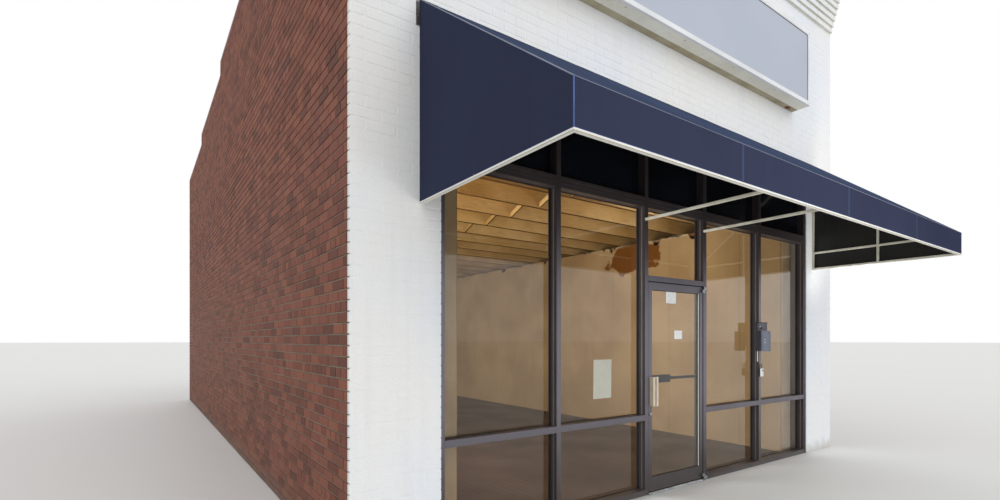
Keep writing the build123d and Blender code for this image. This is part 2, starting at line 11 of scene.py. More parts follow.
import bpy
import numpy as np
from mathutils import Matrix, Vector

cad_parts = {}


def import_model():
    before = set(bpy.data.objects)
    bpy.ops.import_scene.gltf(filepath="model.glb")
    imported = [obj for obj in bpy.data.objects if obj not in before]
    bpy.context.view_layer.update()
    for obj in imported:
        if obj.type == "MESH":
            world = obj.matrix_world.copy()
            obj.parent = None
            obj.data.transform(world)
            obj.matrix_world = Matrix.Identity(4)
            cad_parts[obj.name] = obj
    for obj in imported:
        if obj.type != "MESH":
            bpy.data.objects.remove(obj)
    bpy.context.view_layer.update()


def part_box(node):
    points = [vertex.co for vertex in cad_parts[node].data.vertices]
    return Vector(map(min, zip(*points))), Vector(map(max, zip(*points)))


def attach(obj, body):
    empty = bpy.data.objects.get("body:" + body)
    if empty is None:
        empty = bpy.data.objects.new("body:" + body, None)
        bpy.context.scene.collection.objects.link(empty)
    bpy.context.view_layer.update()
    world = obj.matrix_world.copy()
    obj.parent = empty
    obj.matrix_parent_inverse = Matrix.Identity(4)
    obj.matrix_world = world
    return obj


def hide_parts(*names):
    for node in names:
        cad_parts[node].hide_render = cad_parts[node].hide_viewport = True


LOG = logging.getLogger("shop")
BUILDING = "building"
DOOR = "street_door"
MERGE = 1e-5
TOUCH = 1e-3
FLAT_ANGLE = math.radians(1.0)
ROUND_ANGLE = math.radians(35.0)

# The way that the awning's slope looks, up and out
SLOPE_OUT = Vector((0.0, -0.605, 0.796))
# How fine the weathering is, in cells to the metre: rain runs are about 70 mm wide and 1.4 m long
RAIN_RUNS = (14.0, 14.0, 0.7)
SPECKS = 7.0
SPECK_FIELDS = 3.1
SPLASHES = 9.0
TEARS = 4.0

Numbers = Sequence[float]
Pair = tuple[float, float]
Triple = tuple[float, float, float]
Tree = bpy.types.NodeTree
Socket = bpy.types.NodeSocket
Piece = bpy.types.Object
Box = tuple[Vector, Vector]
Feed = Union[float, Numbers, Socket]
Feeds = dict[Union[str, int], Feed]


# Colour and nodes
def linear(colour: str) -> tuple[float, float, float, float]:
    """Turns an sRGB hex value into a linear colour.

    Args:
        colour: The colour as "#rrggbb".

    Returns:
        Red, green, blue and a full alpha.
    """
    parts = [int(colour[start : start + 2], 16) / 255 for start in (1, 3, 5)]
    red, green, blue = (
        part / 12.92 if part <= 0.04045 else ((part + 0.055) / 1.055) ** 2.4 for part in parts
    )
    return red, green, blue, 1.0


@dataclass(frozen=True)
class Wiring:
    """A node tree, with a short way to add each kind of node that the finishes share."""

    tree: Tree

    def add(self, kind: str, feeds: Optional[Feeds] = None, **settings: object) -> bpy.types.Node:
        """Adds a node with its settings, its constants and its links.

        Args:
            kind: The node's type name after ShaderNode.
            feeds: What each input gets: a constant, or another node's output.
            settings: The node's own properties.

        Returns:
            The new node.
        """
        node = self.tree.nodes.new(f"ShaderNode{kind}")
        for name, value in settings.items():
            setattr(node, name, value)
        for socket, value in (feeds or {}).items():
            if isinstance(value, Socket):
                self.tree.links.new(value, node.inputs[socket])
            else:
                node.inputs[socket].default_value = value
        return node

    @cached_property
    def place(self) -> Socket:
        """Returns the object coordinates, which every pattern lies in."""
        return self.add("TexCoord").outputs["Object"]

    @cached_property
    def height(self) -> Socket:
        """Returns the height over the ground."""
        return self.add("SeparateXYZ", {"Vector": self.place}).outputs["Z"]

    def noise(self, place: Socket, scale: float, detail: float) -> Socket:
        """Returns soft noise in some coordinates, with its cells to the metre and its finer layers."""
        return self.add("TexNoise", {"Vector": place, "Scale": scale, "Detail": detail}).outputs["Fac"]

    def maths(self, operation: str, one: Feed, two: Feed) -> Socket:
        """Returns what an operation makes of two numbers."""
        return self.add("Math", {0: one, 1: two}, operation=operation).outputs[0]

    def vectors(self, operation: str, one: Feed, two: Feed, result: str = "Vector") -> Socket:
        """Returns what an operation makes of two vectors."""
        return self.add("VectorMath", {0: one, 1: two}, operation=operation).outputs[result]

    def ranged(self, value: Socket, low: Feed, high: Feed, start: float = 0.0, end: float = 1.0) -> Socket:
        """Returns a value that runs from start to end while another one runs from low to high."""
        feeds = {"Value": value, "From Min": low, "From Max": high, "To Min": start, "To Max": end}
        return self.add("MapRange", feeds).outputs[0]

    def mixed(self, share: Feed, under: Feed, over: Feed, blend: str = "MIX") -> Socket:
        """Returns one colour with a share of another one over it."""
        feeds = {0: share, 6: under, 7: over}
        return self.add("Mix", feeds, data_type="RGBA", blend_type=blend).outputs[2]


# Finishes
@dataclass(frozen=True)
class Finish:
    """A real surface: two tones that drift into each other, a fine grain, its gloss and its relief."""

    name: str
    colour: str
    tint: str
    patch: float = 0.5
    grit: float = 0.004
    stretch: Triple = (1.0, 1.0, 1.0)
    mottle: float = 0.15
    relief: float = 0.0003
    roughness: float = 0.6
    gloss_drift: float = 0.08
    metallic: float = 0.0
    specular: float = 0.5
    coat: float = 0.0
    streak: float = 0.0
    specks: float = 0.0
    soil: str = "#6f675c"
    soil_top: float = 0.0

    def material(self) -> bpy.types.Material:
        """Makes this finish's material, on its first use.

        Returns:
            The material.
        """
        found = bpy.data.materials.get(self.name)
        if found is not None:
            return found
        made = bpy.data.materials.new(self.name)
        made.use_nodes = True
        made.node_tree.nodes.clear()
        net = Wiring(made.node_tree)
        net.add("OutputMaterial", {"Surface": self.wire(net)})
        return made

    def wire(self, net: Wiring) -> Socket:
        """Wires the shader.

        Args:
            net: The material's nodes.

        Returns:
            The shader's output.
        """
        drift = net.noise(net.place, 1 / self.patch, 5.0)
        along = net.add("Mapping", {"Vector": net.place, "Scale": self.stretch}).outputs["Vector"]
        grain = net.noise(along, 1 / self.grit, 3.0)
        tones = net.mixed(net.ranged(drift, 0.38, 0.62), linear(self.colour), linear(self.tint))
        # The middle of the grain's greys leaves the colour nearly as it is
        greys = net.ranged(grain, 0.3, 0.62)
        mottled = net.mixed(self.mottle, self.pattern(net, tones), greys, "MULTIPLY")
        shiny = max(self.roughness - self.gloss_drift, 0.02)
        dull = min(self.roughness + self.gloss_drift, 1.0)
        relief = {"Strength": 1.0, "Distance": self.relief, "Height": self.relief_of(net, grain)}
        bump = net.add("Bump", relief)
        shader = net.add(
            "BsdfPrincipled",
            {
                "Base Color": self.weathered(net, mottled),
                "Roughness": net.ranged(drift, 0.3, 0.7, shiny, dull),
                "Metallic": self.metallic,
                "Specular IOR Level": self.specular,
                "Coat Weight": self.coat,
                "Normal": bump.outputs["Normal"],
            },
        )
        return shader.outputs["BSDF"]

    def pattern(self, net: Wiring, colour: Socket) -> Socket:
        """Returns the colour with this finish's own pattern, which a plain finish doesn't have."""
        return colour

    def relief_of(self, net: Wiring, grain: Socket) -> Socket:
        """Returns the relief's height, which is the grain on a plain finish."""
        return grain

    def weathered(self, net: Wiring, colour: Socket) -> Socket:
        """Adds rain streaks, pale specks and the soil that splashes up from the ground.

        Args:
            net: The material's nodes.
            colour: The clean colour.

        Returns:
            The weathered colour.
        """
        layers = []
        if self.streak:
            thin = net.add("Mapping", {"Vector": net.place, "Scale": RAIN_RUNS}).outputs["Vector"]
            layers.append((net.ranged(net.noise(thin, 1.0, 4.0), 0.52, 0.78, 0.0, self.streak), self.soil))
        if self.specks:
            spots = net.add("TexVoronoi", {"Vector": net.place, "Scale": SPECKS}).outputs["Distance"]
            dots = net.maths("SUBTRACT", 1.0, net.ranged(spots, 0.02, 0.035))
            chosen = net.ranged(net.noise(net.place, SPECK_FIELDS, 1.0), 0.52, 0.62, 0.0, self.specks)
            layers.append((net.maths("MULTIPLY", dots, chosen), "#b9bcc6"))
        if self.soil_top:
            reach = net.maths("MULTIPLY", net.noise(net.place, SPLASHES, 6.0), self.soil_top * 1.4)
            layers.append((net.ranged(net.height, 0.0, reach, 0.55, 0.0), self.soil))
        for share, tone in layers:
            colour = net.mixed(share, colour, linear(tone))
        return colour


@dataclass(frozen=True)
class FiredClay(Finish):
    """Common brick: each one left the kiln with its own tone, from burnt plum to orange red."""

    tones: tuple[str, ...] = ("#5a3329", "#7c4435", "#8f5040", "#9d5f48", "#7a4a3c")

    def pattern(self, net: Wiring, colour: Socket) -> Socket:
        """Gives each brick its own tone, mixed with the drift of the wall.

        Args:
            net: The material's nodes.
            colour: The colour with its drift.

        Returns:
            The bricks' colour.
        """
        tone = net.add("Attribute", attribute_name="tone").outputs["Fac"]
        ramp = net.add("ValToRGB", {"Fac": tone})
        stops = ramp.color_ramp.elements
        while len(stops) < len(self.tones):
            stops.new(0.5)
        for index, (stop, hexed) in enumerate(zip(stops, self.tones)):
            stop.position = index / (len(self.tones) - 1)
            stop.color = linear(hexed)
        return net.mixed(0.3, ramp.outputs["Color"], colour)


@dataclass(frozen=True)
class PeeledBoard(Finish):
    """Wallboard under old wall paint, with one place where the paint and paper came away."""

    bare: str = "#7a4a1c"
    centre: Triple = (2.54, -2.6, 2.98)
    reach: Triple = (0.5, 0.62, 0.28)

    def pattern(self, net: Wiring, colour: Socket) -> Socket:
        """Lays the bare brown place over the paint, ragged at its edge.

        Args:
            net: The material's nodes.
            colour: The colour with its drift.

        Returns:
            The paint with that place in it.
        """
        scaled = net.vectors("DIVIDE", net.vectors("SUBTRACT", net.place, self.centre), self.reach)
        far = net.vectors("LENGTH", scaled, (0.0, 0.0, 0.0), "Value")
        edge = net.maths("ADD", far, net.noise(net.place, TEARS, 7.0))
        return net.mixed(net.ranged(edge, 1.42, 1.46, 1.0, 0.0), colour, linear(self.bare))


@dataclass(frozen=True)
class FacedFinish(Finish):
    """A surface that takes another colour on the faces that look one way: a coated back, a trim folded under,
    or painted light or shade on that side.

    The change comes in between one pair of heights and fades out again between another.
    """

    facing: Triple = (0.0, -1.0, 0.0)
    faced: str = "#7b757b"
    comes_in: Pair = (-2.0, -1.0)
    fades_out: Pair = (9.0, 8.0)

    def pattern(self, net: Wiring, colour: Socket) -> Socket:
        """Changes the colour on the faces that look that way.

        Args:
            net: The material's nodes.
            colour: The colour with its drift.

        Returns:
            The colour, changed there.
        """
        normal = net.add("TexCoord").outputs["Normal"]
        turned = net.vectors("DOT_PRODUCT", normal, self.facing, "Value")
        share: Feed = 1.0
        for value, span in ((turned, (0.5, 0.95)), (net.height, self.comes_in), (net.height, self.fades_out)):
            share = net.maths("MULTIPLY", share, net.ranged(value, *span))
        return net.mixed(share, colour, linear(self.faced))


@dataclass(frozen=True)
class WovenCanvas(FacedFinish):
    """Acrylic canvas in plain weave: matt, with a faint cross rib and another tone on its back."""

    rib: float = 0.003

    def relief_of(self, net: Wiring, grain: Socket) -> Socket:
        """Weaves warp and weft across each other.

        Args:
            net: The material's nodes.
            grain: The fine grain, not used: the weave takes its place.

        Returns:
            The weave's height.
        """
        waves = {"Vector": net.place, "Scale": 1 / self.rib / math.tau, "Distortion": 0.4}
        warp, weft = (net.add("TexWave", waves, bands_direction=way).outputs["Fac"] for way in ("X", "Z"))
        return net.maths("ADD", warp, weft)


@dataclass(frozen=True)
class SheetGlass(Finish):
    """Clear float glass, a little grey, that lamps and daylight pass straight through."""

    ior: float = 1.45

    def wire(self, net: Wiring) -> Socket:
        """Wires clear glass, with a straight way through it for light that falls on the room.

        Args:
            net: The material's nodes.

        Returns:
            The shader's output.
        """
        glass = net.add(
            "BsdfPrincipled",
            {
                "Base Color": linear(self.colour),
                "Roughness": self.roughness,
                "IOR": self.ior,
                "Specular IOR Level": self.specular,
                "Transmission Weight": 1.0,
            },
        ).outputs["BSDF"]
        path = net.add("LightPath").outputs
        passing = net.maths("MAXIMUM", path["Is Shadow Ray"], path["Is Diffuse Ray"])
        through = net.add("BsdfTransparent", {"Color": linear(self.tint)}).outputs["BSDF"]
        return net.add("MixShader", {0: passing, 1: glass, 2: through}).outputs["Shader"]


# Masonry paint, thick and brushed on: matt, so joints show only as soft shadows
WALL_PAINT = Finish(
    "brushed_masonry_paint", "#eaeef4", "#f1f0ed", patch=1.6, grit=0.012, mottle=0.05, relief=0.0006,
    roughness=0.75, streak=0.05, soil="#9d968a", soil_top=0.22,
)
# The same paint in olive tan, on the cornice's core that shows in the joints and under each stepped course:
# dust, and painted shade for the shadow lines there
DUST_AND_SHADE_PAINT = Finish(
    "dust_stained_masonry_paint", "#cdc9b4", "#d9d8ce", patch=0.4, grit=0.01, relief=0.0006, roughness=0.8
)
# Kiln-fired clay brick: matt and sandy, each one in its own red
BRICK = FiredClay(
    "fired_common_brick", "#7d4a3a", "#8d6350", patch=0.9, grit=0.006, mottle=0.35, relief=0.0009,
    roughness=0.88, streak=0.12, soil_top=0.3,
)
# Lime mortar raked out with a joint iron: pale, rough and quite dull
MORTAR = Finish(
    "raked_lime_mortar", "#a39a89", "#8d8577", grit=0.003, mottle=0.3, relief=0.0008, roughness=0.95
)
# Vitrified clay: salt glazed, so it shines in patches
CLAY_COPING = Finish(
    "salt_glazed_clay_coping", "#8a4a33", "#6d3a2b", patch=0.3, grit=0.008, mottle=0.25, roughness=0.42,
    coat=0.2, streak=0.15,
)
# Cast cement under old paint: chalky white with grey patches
COPING_PAINT = Finish("painted_cement_coping", "#dcdee0", "#c9c8c2", grit=0.006, mottle=0.12, relief=0.0008)
# Aluminium roof coating over felt: dull silver, mud grey where water stands
ROOF_COAT = Finish(
    "aluminium_coated_roofing_felt", "#b4b5b3", "#a2a29c", patch=0.9, grit=0.006, mottle=0.2,
    relief=0.001, roughness=0.62, metallic=0.25,
)
# Hot-dipped zinc on sheet steel: dull silver with soft spangle
GALVANISED = Finish(
    "galvanised_sheet_steel", "#a9adb0", "#8e9295", patch=0.12, grit=0.02, mottle=0.12, roughness=0.42,
    metallic=0.85, streak=0.1,
)
# Strip floor, stained and waxed: dark brown along the grain, with a low sheen where feet polish it
FLOOR_STAIN = Finish(
    "worn_stained_strip_floor", "#483328", "#3a281f", patch=0.8, grit=0.01, stretch=(1.0, 0.06, 1.0),
    mottle=0.45, relief=0.0004, roughness=0.45, coat=0.1,
)
# Oil paint over rough-sawn fir; the faces that look down are dark brown, painted shade on the undersides
JOIST_PAINT_SHADED_BELOW = FacedFinish(
    "oil_painted_rough_fir", "#c6a26c", "#b08a50", patch=0.7, grit=0.012, stretch=(0.08, 1.0, 1.0),
    mottle=0.22, relief=0.0008, roughness=0.7, facing=(0.0, 0.0, -1.0), faced="#4b2f14",
)
# The same paint on planed boards, in the joists' shade: flat tan with darker drifts
CEILING_PAINT = Finish(
    "oil_painted_ceiling_boards", "#c9a66e", "#b58f54", patch=0.7, grit=0.012, mottle=0.22, relief=0.0008
)
# Pine as the saw left it: brown, dry and streaked along the grain
BARE_TIMBER = Finish(
    "bare_sawn_pine", "#8a6238", "#6f4a2a", patch=0.3, grit=0.01, stretch=(1.0, 1.0, 0.08), mottle=0.4,
    relief=0.0008, roughness=0.85,
)
# Wall paint rolled on paper-faced board: even tan, flat, with faint runs
LINING_PAINT = PeeledBoard(
    "painted_wallboard", "#b8976a", "#a58458", patch=0.9, grit=0.02, mottle=0.1, relief=0.0001,
    roughness=0.72, streak=0.12, soil="#6b5133",
)
# The linings' narrow returns in a lighter tan than the walls, so they read as lit: painted light, with a soft
# sheen
RETURN_PAINTED_LIGHT = Finish("brushed_oil_paint", "#c6a784", "#b3926e", patch=0.4, grit=0.01, mottle=0.1)
# Dark bronze anodised aluminium: drawn lines run along each bar; its street faces are paler between knee and
# head height, painted light where daylight reaches them under the awning
BRONZE_WITH_LIT_FRONTS = FacedFinish(
    "dark_bronze_anodised_aluminium", "#534c4d", "#484244", patch=0.7, grit=0.003,
    stretch=(1.0, 1.0, 0.05), mottle=0.18, relief=0.0001, roughness=0.4, metallic=0.45, soil="#6a6660",
    soil_top=0.08, faced="#77747e", comes_in=(0.2, 1.0), fades_out=(2.9, 1.9),
)
# The glass stops' ridges in a paler bronze: a painted highlight line up each side of each window
STOP_HIGHLIGHT_METAL = Finish(
    "worn_bronze_glass_stop", "#837c7d", "#756f71", patch=0.4, grit=0.003, roughness=0.38, metallic=0.4
)
# Aluminium as the rolls or the die left it: silver, with fine lines along it
MILL = Finish(
    "mill_finish_aluminium", "#b9bbbd", "#9a9c9f", patch=0.05, grit=0.002, stretch=(0.05, 1.0, 1.0),
    mottle=0.25, relief=0.0001, roughness=0.34, metallic=0.9,
)
# Glass enamelled black on its back: deep, flat and mirror smooth
PANEL_BLACK = Finish(
    "back_painted_black_glass", "#0c0e13", "#12151c", grit=0.5, mottle=0.05, relief=0.0, roughness=0.08,
    coat=0.4,
)
# Float glass with a grey body tint: clear and quite flat
GLASS = SheetGlass("grey_float_glass", "#f1f2f0", "#e6e8e6", roughness=0.0, specular=0.09)
# Enamel stoved on folded sheet: smooth warm cream with a soft gloss
CREAM = Finish(
    "cream_stove_enamel", "#efe2c8", "#e5d6b8", patch=0.08, grit=0.003, mottle=0.08, roughness=0.35, coat=0.3
)
# A dull grey brown band up the pull's lip: painted shade across the lip
PULL_LIP_SHADE = Finish("grey_grip_tape", "#b3a69e", "#a4978f", patch=0.06, grit=0.002, mottle=0.2, roughness=0.8)
# Anodised bar: near black, with a faint metal sheen
DARK_BAR = Finish("black_anodised_bar", "#131418", "#0f1013", grit=0.002, roughness=0.4, metallic=0.3)
# Hammered enamel: violet grey, dimpled, so its gloss breaks up
BOX_GREY = Finish("grey_hammered_enamel", "#5d5c68", "#51505b", patch=0.05, mottle=0.2, roughness=0.5)
# Charcoal on the cases behind their covers, so their sides read darker than their fronts: painted shade, half
# matt
CHARCOAL_AND_SIDE_SHADE = Finish(
    "charcoal_box_enamel", "#3b3c43", "#33343a", patch=0.06, grit=0.003, mottle=0.1, roughness=0.5
)
# The same enamel on the lower cover: a paler blue grey
BOX_BLUE = Finish(
    "blue_grey_box_enamel", "#6f7589", "#666b7e", patch=0.06, grit=0.003, mottle=0.1, roughness=0.42
)
# Paint gone chalky on zinc-dipped tube: off-white and dull, a little yellow
TUBE_ZINC = Finish(
    "chalked_paint_on_galvanised_tube", "#e6e2d4", "#d2cdbd", patch=0.1, grit=0.006, mottle=0.14,
    roughness=0.55,
)
# The edge trim folds under the lowest tubes; the fold isn't modelled, so the tubes' faces that look down are
# white instead
HEMMED_ZINC = FacedFinish(
    "painted_tube_with_folded_trim", TUBE_ZINC.colour, TUBE_ZINC.tint, patch=0.1, grit=0.006,
    mottle=0.18, roughness=0.5, facing=(0.0, 0.0, -1.0), faced="#f4f1e8", fades_out=(2.52, 2.51),
)
# Solution-dyed acrylic yarn, coated black on the back: flat navy with a fine rib
CANVAS = WovenCanvas(
    "woven_acrylic_canvas", "#3b4057", "#383c52", patch=1.4, grit=0.003, mottle=0.1, relief=0.0001,
    roughness=0.85, specular=0.0, streak=0.08, specks=0.6, soil="#4a4f60", facing=tuple(-SLOPE_OUT),
    faced="#343332",
)
# The slope's canvas is paler and bluer than the rest: painted light from the sky on the slope
CANVAS_PAINTED_LIGHT = replace(CANVAS, name="sun_bleached_acrylic_canvas", colour="#47526d", tint="#434d67")
# The same cloth on the two ends, whose coated backs look inward
LEFT_CANVAS = replace(CANVAS, name="woven_acrylic_canvas_left_end", facing=(1.0, 0.0, 0.0))
RIGHT_CANVAS = replace(CANVAS, name="woven_acrylic_canvas_right_end", facing=(-1.0, 0.0, 0.0))
# Vinyl drawn over cord: a bright blue line; and a grey one, which along the fold is a painted highlight on
# the fold's edge
PIPING = Finish("blue_vinyl_piping", "#4a6cb0", "#3d5a98", grit=0.002, roughness=0.4)
CORD_AND_FOLD_HIGHLIGHT = Finish("grey_vinyl_piping", "#8d93a3", "#7c8292", grit=0.002, roughness=0.5)
# Vinyl strip pressed through a die: clean warm white, smooth
TRIM = Finish("white_extruded_vinyl", "#f7f5ee", "#efece2", patch=0.2, grit=0.003, mottle=0.08, roughness=0.5)
# Enamelled sheet steel: pale beige with thin rain runs
SIGN_SHEET = Finish(
    "beige_enamelled_sheet", "#f3f1e3", "#e9e6d6", patch=0.4, mottle=0.06, roughness=0.5, streak=0.12
)
# Flat tan on the sign's mounting frame, darker than the body, so the rear band of the underside is darker
SIGN_TAN = Finish("tan_primer_on_steel", "#bfb496", "#ab9f80", patch=0.25, mottle=0.14)
# White enamel stoved on metal: even, with a soft gloss
WHITE_METAL = Finish(
    "white_stove_enamel", "#e9ebee", "#dfe1e4", grit=0.003, mottle=0.03, roughness=0.4, streak=0.04
)
# Opal acrylic: a flat, slightly glossy sheet, lavender grey with age
SIGN_FACE = Finish(
    "aged_opal_acrylic_sheet", "#b6bbca", "#b3bbc9", patch=1.2, mottle=0.02, relief=0.0, roughness=0.45,
    specular=0.3,
)
# Dull olive rubber; round the sign's face it is a painted shadow line between the face and the retainer
GASKET = Finish("olive_weathered_gasket", "#6d6c58", "#5c5b4b", grit=0.003, roughness=0.7)
# Rust run out of a drain hole: orange to brown, rough
RUST = Finish(
    "red_iron_rust", "#7b4526", "#9a6236", patch=0.02, grit=0.003, mottle=0.4, relief=0.0004, roughness=0.95
)
# Extruded rubber: black and matt
RUBBER = Finish("black_glazing_rubber", "#17171a", "#1e1e20", grit=0.002)
# Rolled steel under the wall's paint: pale grey, smoother than the brick
LINTEL_PAINT = Finish(
    "painted_structural_steel", "#d9dadb", "#c4c0b6", patch=0.2, mottle=0.1, roughness=0.5
)
# Oil paint on a pressed steel door: mid grey, with rain runs and a dirty foot
REAR_PAINT = Finish("grey_painted_steel_door", "#7c8184", "#6e7376", mottle=0.1, streak=0.15, soil_top=0.15)
# Clay-coated paper: warm white, without a gloss
PAPER = Finish("white_coated_paper", "#faf4ea", "#f4ede2", patch=0.05, grit=0.001, mottle=0.03)
# Cast vinyl label: cool white and a little glossy
DIAL = Finish("white_label_vinyl", "#eef0f1", "#e6e8ea", patch=0.03, grit=0.001, mottle=0.02, roughness=0.35)


# Modelling by hand
def focus(*objects: Piece) -> None:
    """Selects objects alone and makes the first one active.

    Args:
        objects: The objects.
    """
    bpy.ops.object.select_all(action="DESELECT")
    for obj in objects:
        obj.select_set(True)
    bpy.context.view_layer.objects.active = objects[0]


@contextmanager
def editing(obj: Piece, wanted: Optional[Callable[[Vector, Vector], bool]] = None) -> Iterator[None]:
    """Opens an object in edit mode with some of its faces selected.

    Args:
        obj: The object.
        wanted: Says from a face's centre and normal if it is selected. With none, all are.
    """
    focus(obj)
    bpy.ops.object.mode_set(mode="EDIT")
    bpy.ops.mesh.select_mode(type="FACE")
    bpy.ops.mesh.select_all(action="DESELECT" if wanted else "SELECT")
    if wanted:
        bpy.ops.object.mode_set(mode="OBJECT")
        for face in obj.data.polygons:
            face.select = wanted(face.center, face.normal)
        bpy.ops.object.mode_set(mode="EDIT")
    yield
    bpy.ops.object.mode_set(mode="OBJECT")


def settle(obj: Piece) -> Piece:
    """Puts an object's place into its mesh and its origin at the building's.

    Args:
        obj: The object.

    Returns:
        The object.
    """
    focus(obj)
    bpy.ops.object.transform_apply(location=True, rotation=True, scale=True)
    return obj


def block(name: str, low: Numbers, high: Numbers, edge: float = 0.0) -> Piece:
    """Adds a block between two corners, with its edges rounded if an edge is given.

    Args:
        name: The object's name.
        low: The lowest corner.
        high: The highest corner.
        edge: How far each edge is cut back.

    Returns:
        The block.
    """
    size = [b - a for a, b in zip(low, high)]
    middle = [(a + b) / 2 for a, b in zip(low, high)]
    bpy.ops.object.select_all(action="DESELECT")
    bpy.ops.mesh.primitive_cube_add(size=1, location=middle)
    made = bpy.context.object
    made.name = name
    made.scale = size
    settle(made)
    if edge:
        with editing(made):
            bpy.ops.mesh.bevel(offset=edge, segments=2, affect="EDGES", clamp_overlap=True)
    return made


def rod(name: str, start: Numbers, end: Numbers, radius: float, sides: int = 16) -> Piece:
    """Adds a round bar from one point to another, with its two rims eased.

    Args:
        name: The object's name.
        start: The middle of one end.
        end: The middle of the other end.
        radius: Half its thickness.
        sides: How many flat sides its round has.

    Returns:
        The bar.
    """
    line = Vector(end) - Vector(start)
    bpy.ops.object.select_all(action="DESELECT")
    bpy.ops.mesh.primitive_cylinder_add(
        vertices=sides, radius=radius, depth=line.length, location=(Vector(start) + Vector(end)) / 2,
        rotation=line.to_track_quat("Z", "Y").to_euler(),
    )
    made = bpy.context.object
    made.name = name
    ease = min(radius / 4, line.length / 4)
    along = line.normalized()
    settle(made)
    with editing(made, lambda centre, normal: abs(normal.dot(along)) > 0.99):
        bpy.ops.mesh.bevel(offset=ease, segments=2, affect="EDGES")
    smooth(made)
    return made


def smooth(obj: Piece, angle: float = ROUND_ANGLE) -> Piece:
    """Shades gentle bends smooth and leaves sharp ones.

    Args:
        obj: The object.
        angle: The sharpest bend that still counts as gentle.

    Returns:
        The object.
    """
    focus(obj)
    bpy.ops.object.shade_smooth_by_angle(angle=angle)
    return obj


def modify(obj: Piece, kind: str, **settings: object) -> Piece:
    """Adds a modifier and applies it.

    Args:
        obj: The object.
        kind: The modifier's type name.
        settings: The modifier's own properties.

    Returns:
        The object.
    """
    added = obj.modifiers.new(kind.lower(), kind)
    for name, value in settings.items():
        setattr(added, name, value)
    focus(obj)
    bpy.ops.object.modifier_apply(modifier=added.name)
    return obj


def repeat(obj: Piece, count: int, step: Numbers) -> Piece:
    """Repeats a shape in a straight line, joined in one mesh.

    Args:
        obj: The shape.
        count: How many there are in the end.
        step: The way from each one to the next.

    Returns:
        The line of shapes.
    """
    if count < 2:
        return obj
    return modify(
        obj, "ARRAY", count=count, use_relative_offset=False, use_constant_offset=True,
        constant_offset_displace=step,
    )


def shift(obj: Piece, step: Numbers) -> Piece:
    """Moves an object's mesh."""
    obj.location = step
    return settle(obj)


def turn(obj: Piece, angle: float) -> Piece:
    """Turns an object's mesh about the upright axis through the origin."""
    obj.rotation_euler = (0.0, 0.0, angle)
    return settle(obj)


def copied(obj: Piece, step: Numbers, name: str = "copy") -> Piece:
    """Copies an object with its own mesh and moves the copy.

    Args:
        obj: The object.
        step: How far the copy moves.
        name: The copy's name.

    Returns:
        The copy.
    """
    made = bpy.data.objects.new(name, obj.data.copy())
    bpy.context.scene.collection.objects.link(made)
    return shift(made, step)


def join(name: str, objects: Sequence[Piece]) -> Piece:
    """Joins objects in one and names it.

    Args:
        name: The joined object's name.
        objects: The objects.

    Returns:
        The joined object.
    """
    focus(*objects)
    if len(objects) > 1:
        bpy.ops.object.join()
    objects[0].name = name
    return objects[0]


def cut(obj: Piece, point: Numbers, normal: Numbers) -> None:
    """Cuts away what lies beyond a plane and closes the cut."""
    with editing(obj):
        bpy.ops.mesh.bisect(plane_co=point, plane_no=normal, use_fill=True, clear_outer=True)


def ring(name: str, low: Numbers, high: Numbers, width: float, edge: float = 0.0) -> Piece:
    """Adds an upright four-sided ring that faces the street.

    Args:
        name: The object's name.
        low: The outside's lowest corner.
        high: The outside's highest corner.
        width: How wide each side is.
        edge: How far its outer edges are eased.

    Returns:
        The ring.
    """
    made = block(name, low, high)
    with editing(made, lambda centre, normal: abs(normal.y) > 0.9):
        bpy.ops.mesh.inset(thickness=width, use_individual=True)
        bpy.ops.mesh.bridge_edge_loops()
    if edge:
        modify(made, "BEVEL", width=edge, segments=2, limit_method="ANGLE")
    return made


def sheet_of(name: str, columns: int, rows: int, place: Callable[[float, float], Numbers]) -> Piece:
    """Adds a grid and lays each of its points where a formula says.

    Args:
        name: The object's name.
        columns: Faces along the sheet.
        rows: Faces up the sheet.
        place: Gives a point for shares along and up the sheet, each from 0 to 1.

    Returns:
        The sheet, one face thick.
    """
    bpy.ops.object.select_all(action="DESELECT")
    bpy.ops.mesh.primitive_grid_add(x_subdivisions=columns, y_subdivisions=rows, size=1)
    made = bpy.context.object
    made.name = name
    for corner in made.data.vertices:
        corner.co = place(corner.co.x + 0.5, corner.co.y + 0.5)
    made.data.update()
    return made


def solids_of(node: str) -> list[Box]:
    """Finds the box of each separate solid in a CAD node.

    Args:
        node: The node's name.

    Returns:
        The lowest and highest corner of each solid, sorted by place.
    """
    mesh = bpy.data.objects[node].data
    keys = [tuple(round(c / MERGE / 10) for c in vertex.co) for vertex in mesh.vertices]
    root = {key: key for key in keys}

    def top(key: tuple[int, ...]) -> tuple[int, ...]:
        """Follows a point to the one that stands for its solid."""
        while root[key] != key:
            root[key] = root[root[key]]
            key = root[key]
        return key

    for face in mesh.polygons:
        first = top(keys[face.vertices[0]])
        for index in face.vertices[1:]:
            root[top(keys[index])] = first
    groups: dict[tuple[int, ...], list[Vector]] = {}
    for key, vertex in zip(keys, mesh.vertices):
        groups.setdefault(top(key), []).append(vertex.co)
    boxes = [(Vector(map(min, zip(*points))), Vector(map(max, zip(*points)))) for points in groups.values()]
    return sorted(boxes, key=lambda box: tuple(round(c, 4) for c in box[0]))


